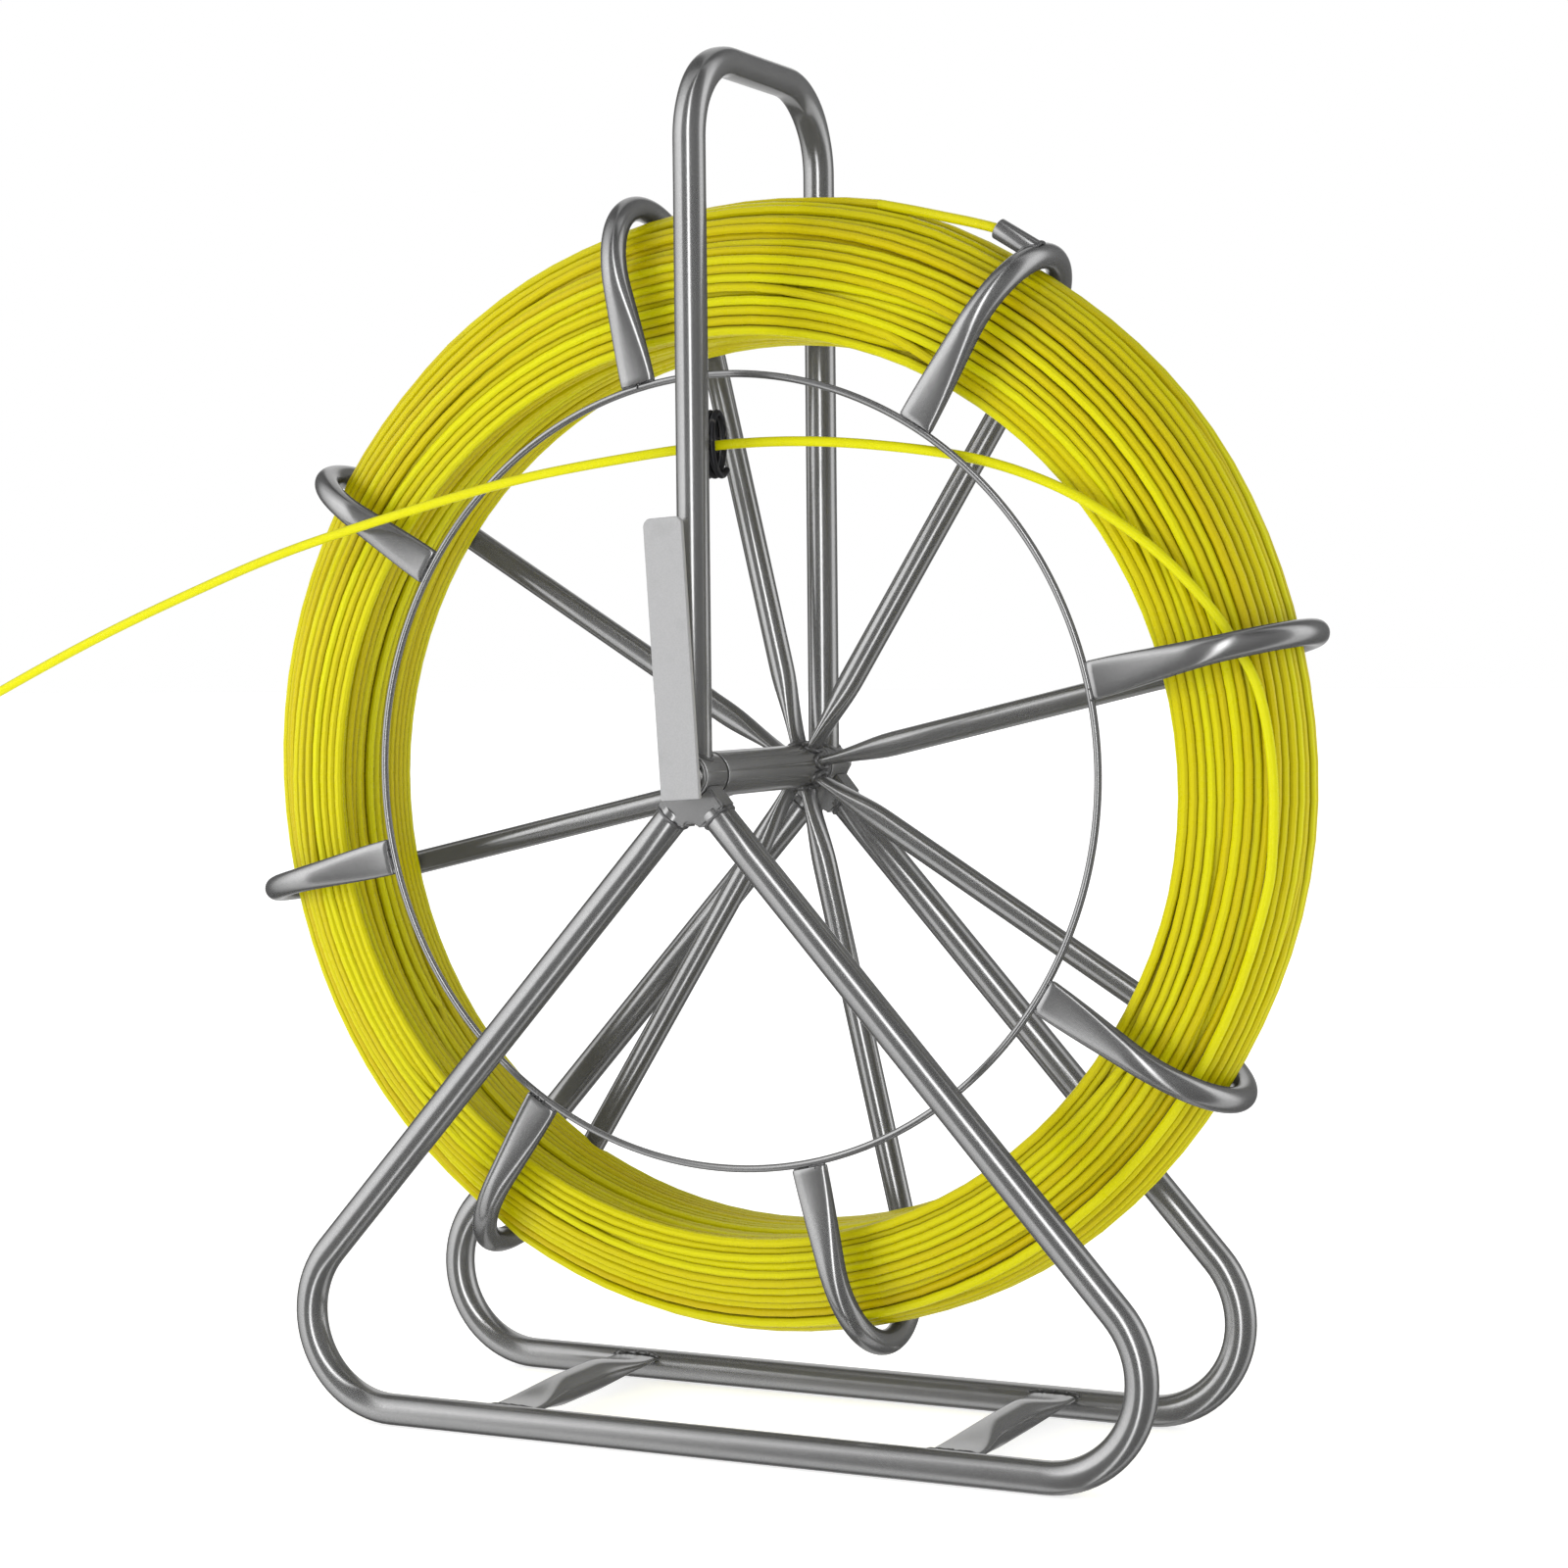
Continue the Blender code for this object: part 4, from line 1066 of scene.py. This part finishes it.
def close_pairs(rows):
    """Indices of the strands at one station that lie close together."""
    grid = rows.reshape(-1, STATIONS, 2)
    turns = len(grid)
    firsts, seconds = [], []
    station = np.arange(STATIONS)
    for k in range(1, turns):
        near = np.abs(grid[k:] - grid[:-k]).max(axis=2) < STRAND_APART * 1.35
        upper, where = np.nonzero(near)
        firsts.append(upper * STATIONS + station[where])
        seconds.append((upper + k) * STATIONS + station[where])
    return np.concatenate(firsts), np.concatenate(seconds)


def keep_inside(chain, free, inner, bulge, slack):
    """Hold the strands in the cage's hooks, behind the free run and off the middle."""
    y_low, y_high = (SECTION_MIDDLE[1] + side * SECTION_REACH[1] for side in (-1, 1))
    chain[free, 1] = np.clip(chain[free, 1], y_low, y_high)
    chain[free, 0] = np.maximum(chain[free, 0], inner[free])
    away = (chain - SECTION_MIDDLE) / SECTION_REACH
    away[:, 0] /= 1.0 + bulge / SECTION_REACH[0] * np.clip(1.2 + away[:, 1], 0.0, 1.0)
    far = np.linalg.norm(away, axis=1)
    room = 1.0 - slack
    over = free & (far > room) & (chain[:, 0] > SECTION_MIDDLE[0])
    shrink = (room[over] / far[over])[:, None]
    chain[over] = SECTION_MIDDLE + (chain[over] - SECTION_MIDDLE) * shrink


def painted_groove_shade(chain):
    """How hidden each side of the rod is, as painted shade: 0 in the open, towards 1 where
    strands touch.
    """
    rows = whole_turns(chain)
    first, second = close_pairs(rows)
    gap = rows[second] - rows[first]
    apart = np.linalg.norm(gap, axis=1)[:, None]
    near = np.clip((GROOVE_FROM - apart) / GROOVE_OVER, 0.0, 1.0)
    turn = round_turn(ROD_SIDES)
    facing = gap / apart @ np.stack([np.cos(turn), -np.sin(turn)])
    seen = np.ones((len(rows), ROD_SIDES))
    for here, towards in ((first, facing), (second, -facing)):
        np.multiply.at(seen, here, 1.0 - GROOVE_SHADE_DARK * near * np.clip(towards, 0.0, 1.0) ** 2.5)
    return 1.0 - seen[:len(chain)]


def rod_mesh(places, outward):
    """Round tube along places, whose section lies near the outward direction and Y."""
    turn = round_turn(ROD_SIDES)
    rings = (places[:, None] + ROD_R * np.cos(turn)[None, :, None] * outward[:, None]
             - ROD_R * np.sin(turn)[None, :, None] * Y_AXIS)
    return rings.reshape(-1, 3), capped_faces(len(places), ROD_SIDES)


def paint_points(made, name, values):
    layer = made.data.attributes.new(name, "FLOAT", "POINT")
    layer.data.foreach_set("value", np.asarray(values, dtype=np.float32).ravel())


def make_wound_rod():
    rows, theta = wind_rod()
    # Painted shade in the grooves between strands, handed to the material as the point attribute
    # groove.
    groove = painted_groove_shade(rows)
    groove = np.vstack([groove, groove[-1:]])
    end = np.array([[math.hypot(FREE_RUN[0][0], FREE_RUN[0][2]), FREE_RUN[0][1]]])
    rows = np.vstack([rows, end])
    last = theta[-1] - (theta[-1] - RUN_START) % math.tau
    theta = np.append(theta, last)
    outward = columns(np.sin(theta), 0.0, np.cos(theta))
    places = outward * rows[:, :1] + columns(0.0, rows[:, 1], AXLE_Z)
    chance = np.random.default_rng(19)
    ochre = 0.45 + smooth_noise(chance, len(theta), STATIONS, 0.26)
    ochre = np.clip(ochre + smooth_noise(chance, len(theta), 9, 0.08), 0.0, 1.0)
    # The painted groove shade, made deeper or lighter at random along the rod.
    uneven = np.clip(0.80 + smooth_noise(chance, len(theta), 40, 0.45), 0.15, 1.5)
    groove = np.clip(groove * uneven[:, None], 0.0, 1.0)
    cuts = np.linspace(0, len(theta) - 1, COIL_PIECES + 1).astype(int)
    for i, (low, high) in enumerate(zip(cuts, cuts[1:])):
        part = slice(low, high + 1)
        made = piece("wound_rod_%d" % (i + 1), [rod_mesh(places[part], outward[part])], YELLOW,
                     "reel", ["rod_coil"])
        paint_points(made, "ochre", np.repeat(ochre[part], ROD_SIDES))
        paint_points(made, "groove", groove[part])
    length = np.linalg.norm(np.diff(places, axis=0), axis=1).sum()
    print("wound rod: %.1f turns, %.1f m" % (len(theta) / STATIONS, length))


def make_tail():
    knots = []
    for degrees, radius, y in TAIL_ROUTE:
        angle = math.radians(degrees)
        knots.append((radius * math.sin(angle), y, radius * math.cos(angle)))
    knots.append((HOLDER_FROM, HOLDER_Y, HOLDER_RADIUS - 0.00025))
    knots.append((HOLDER_FROM + 0.006, HOLDER_Y, HOLDER_RADIUS + 0.00025))
    path = about_axle(HOLDER_ANGLE, evenly(catmull_rom(knots), 0.004))
    shape = sweep(path, ROD_R, sides=16, edge=0.0003)
    made = piece("rod_tail_end", [shape], YELLOW, "reel", ["rod_tail"])
    paint_points(made, "ochre", np.full(len(made.data.vertices), 0.3))


# ---- the free run and its end fitting -----------------------------------------------
def make_free_run():
    knots = [(x, y, AXLE_Z + rise) for x, y, rise in FREE_RUN]
    path = evenly(catmull_rom(knots), 0.010)
    curve = bpy.data.curves.new("rod_run", "CURVE")
    curve.dimensions = "3D"
    curve.bevel_depth = ROD_R
    curve.bevel_resolution = 5
    curve.use_fill_caps = True
    curve.resolution_u = 4
    spline = curve.splines.new("NURBS")
    spline.points.add(len(path) - 1)
    for knot, place in zip(spline.points, path):
        knot.co = (*place, 1.0)
    spline.use_endpoint_u = True
    spline.order_u = 4
    curve.materials.append(YELLOW)
    run = add_object("rod_run", curve)
    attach(run, "stand")
    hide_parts("rod_free_run")
    tip = Vector(path[-1])
    out = Vector(unit(path[-1] - path[-2]))
    side = out.cross(Vector((0.0, 1.0, 0.0))).normalized()
    aim = Matrix((side, out, side.cross(out))).transposed()
    fittings = make_end_fitting(tip + out * GAP, aim)


def make_end_fitting(tip, aim):
    """Crimped brass ferrule and a round pulling eye, drawn along +Y from the rod's tip."""
    turn = np.array(aim)
    profile = [(0.00001, 0.0), (FERRULE_R, 0.0), (FERRULE_R, 0.0045)]
    for crimp in (0.0065, 0.0115, 0.0165):
        profile += [(FERRULE_R, crimp - 0.0012), (FERRULE_R - 0.0006, crimp),
                    (FERRULE_R, crimp + 0.0012)]
    profile += [(FERRULE_R, 0.0215), (0.0034, 0.0250), (0.0032, 0.0256), (0.0032, 0.0300),
                (0.00001, 0.0300)]
    points, faces = turned(softened(profile[::-1], 0.0004), 48, (0.0, 0.0))
    points = points @ turn.T + np.array(tip)
    ferrule = piece("crimped_ferrule", [(points, faces)], BRASS, "stand",
                    ["rod_end_ferrule"])
    middle = FERRULE_LENGTH + 2 * GAP + EYE_R + EYE_WIRE_R
    angle = round_turn(72)
    ring = columns(EYE_R * np.cos(angle), middle + EYE_R * np.sin(angle), 0.0)
    points, faces = sweep(ring, EYE_WIRE_R, across=(0.0, 0.0, 1.0), sides=18, closed=True)
    points = points @ turn.T + np.array(tip)
    eye = piece("round_pulling_eye", [(points, faces)], BRASS, "stand", ["pulling_eye"])
    return [ferrule, eye]


# ---- build --------------------------------------------------------------------------
bpy.context.scene.view_settings.view_transform = "Standard"
add_camera()
make_free_run()
add_world()
add_floor()
add_area_light("key", (-2.2, -2.4, 0.6), (0.0, 0.0, 0.4), (1.6, 1.6), 50.0)
add_area_light("fill", (2.4, -1.6, 1.6), (0.0, 0.0, 0.4), (1.2, 1.8), 7.0)
make_stand()
make_brake()
make_spokes()
make_hub()
make_ring()
make_holder()
make_reel_welds()
make_wound_rod()
make_tail()

bpy.context.view_layer.update()
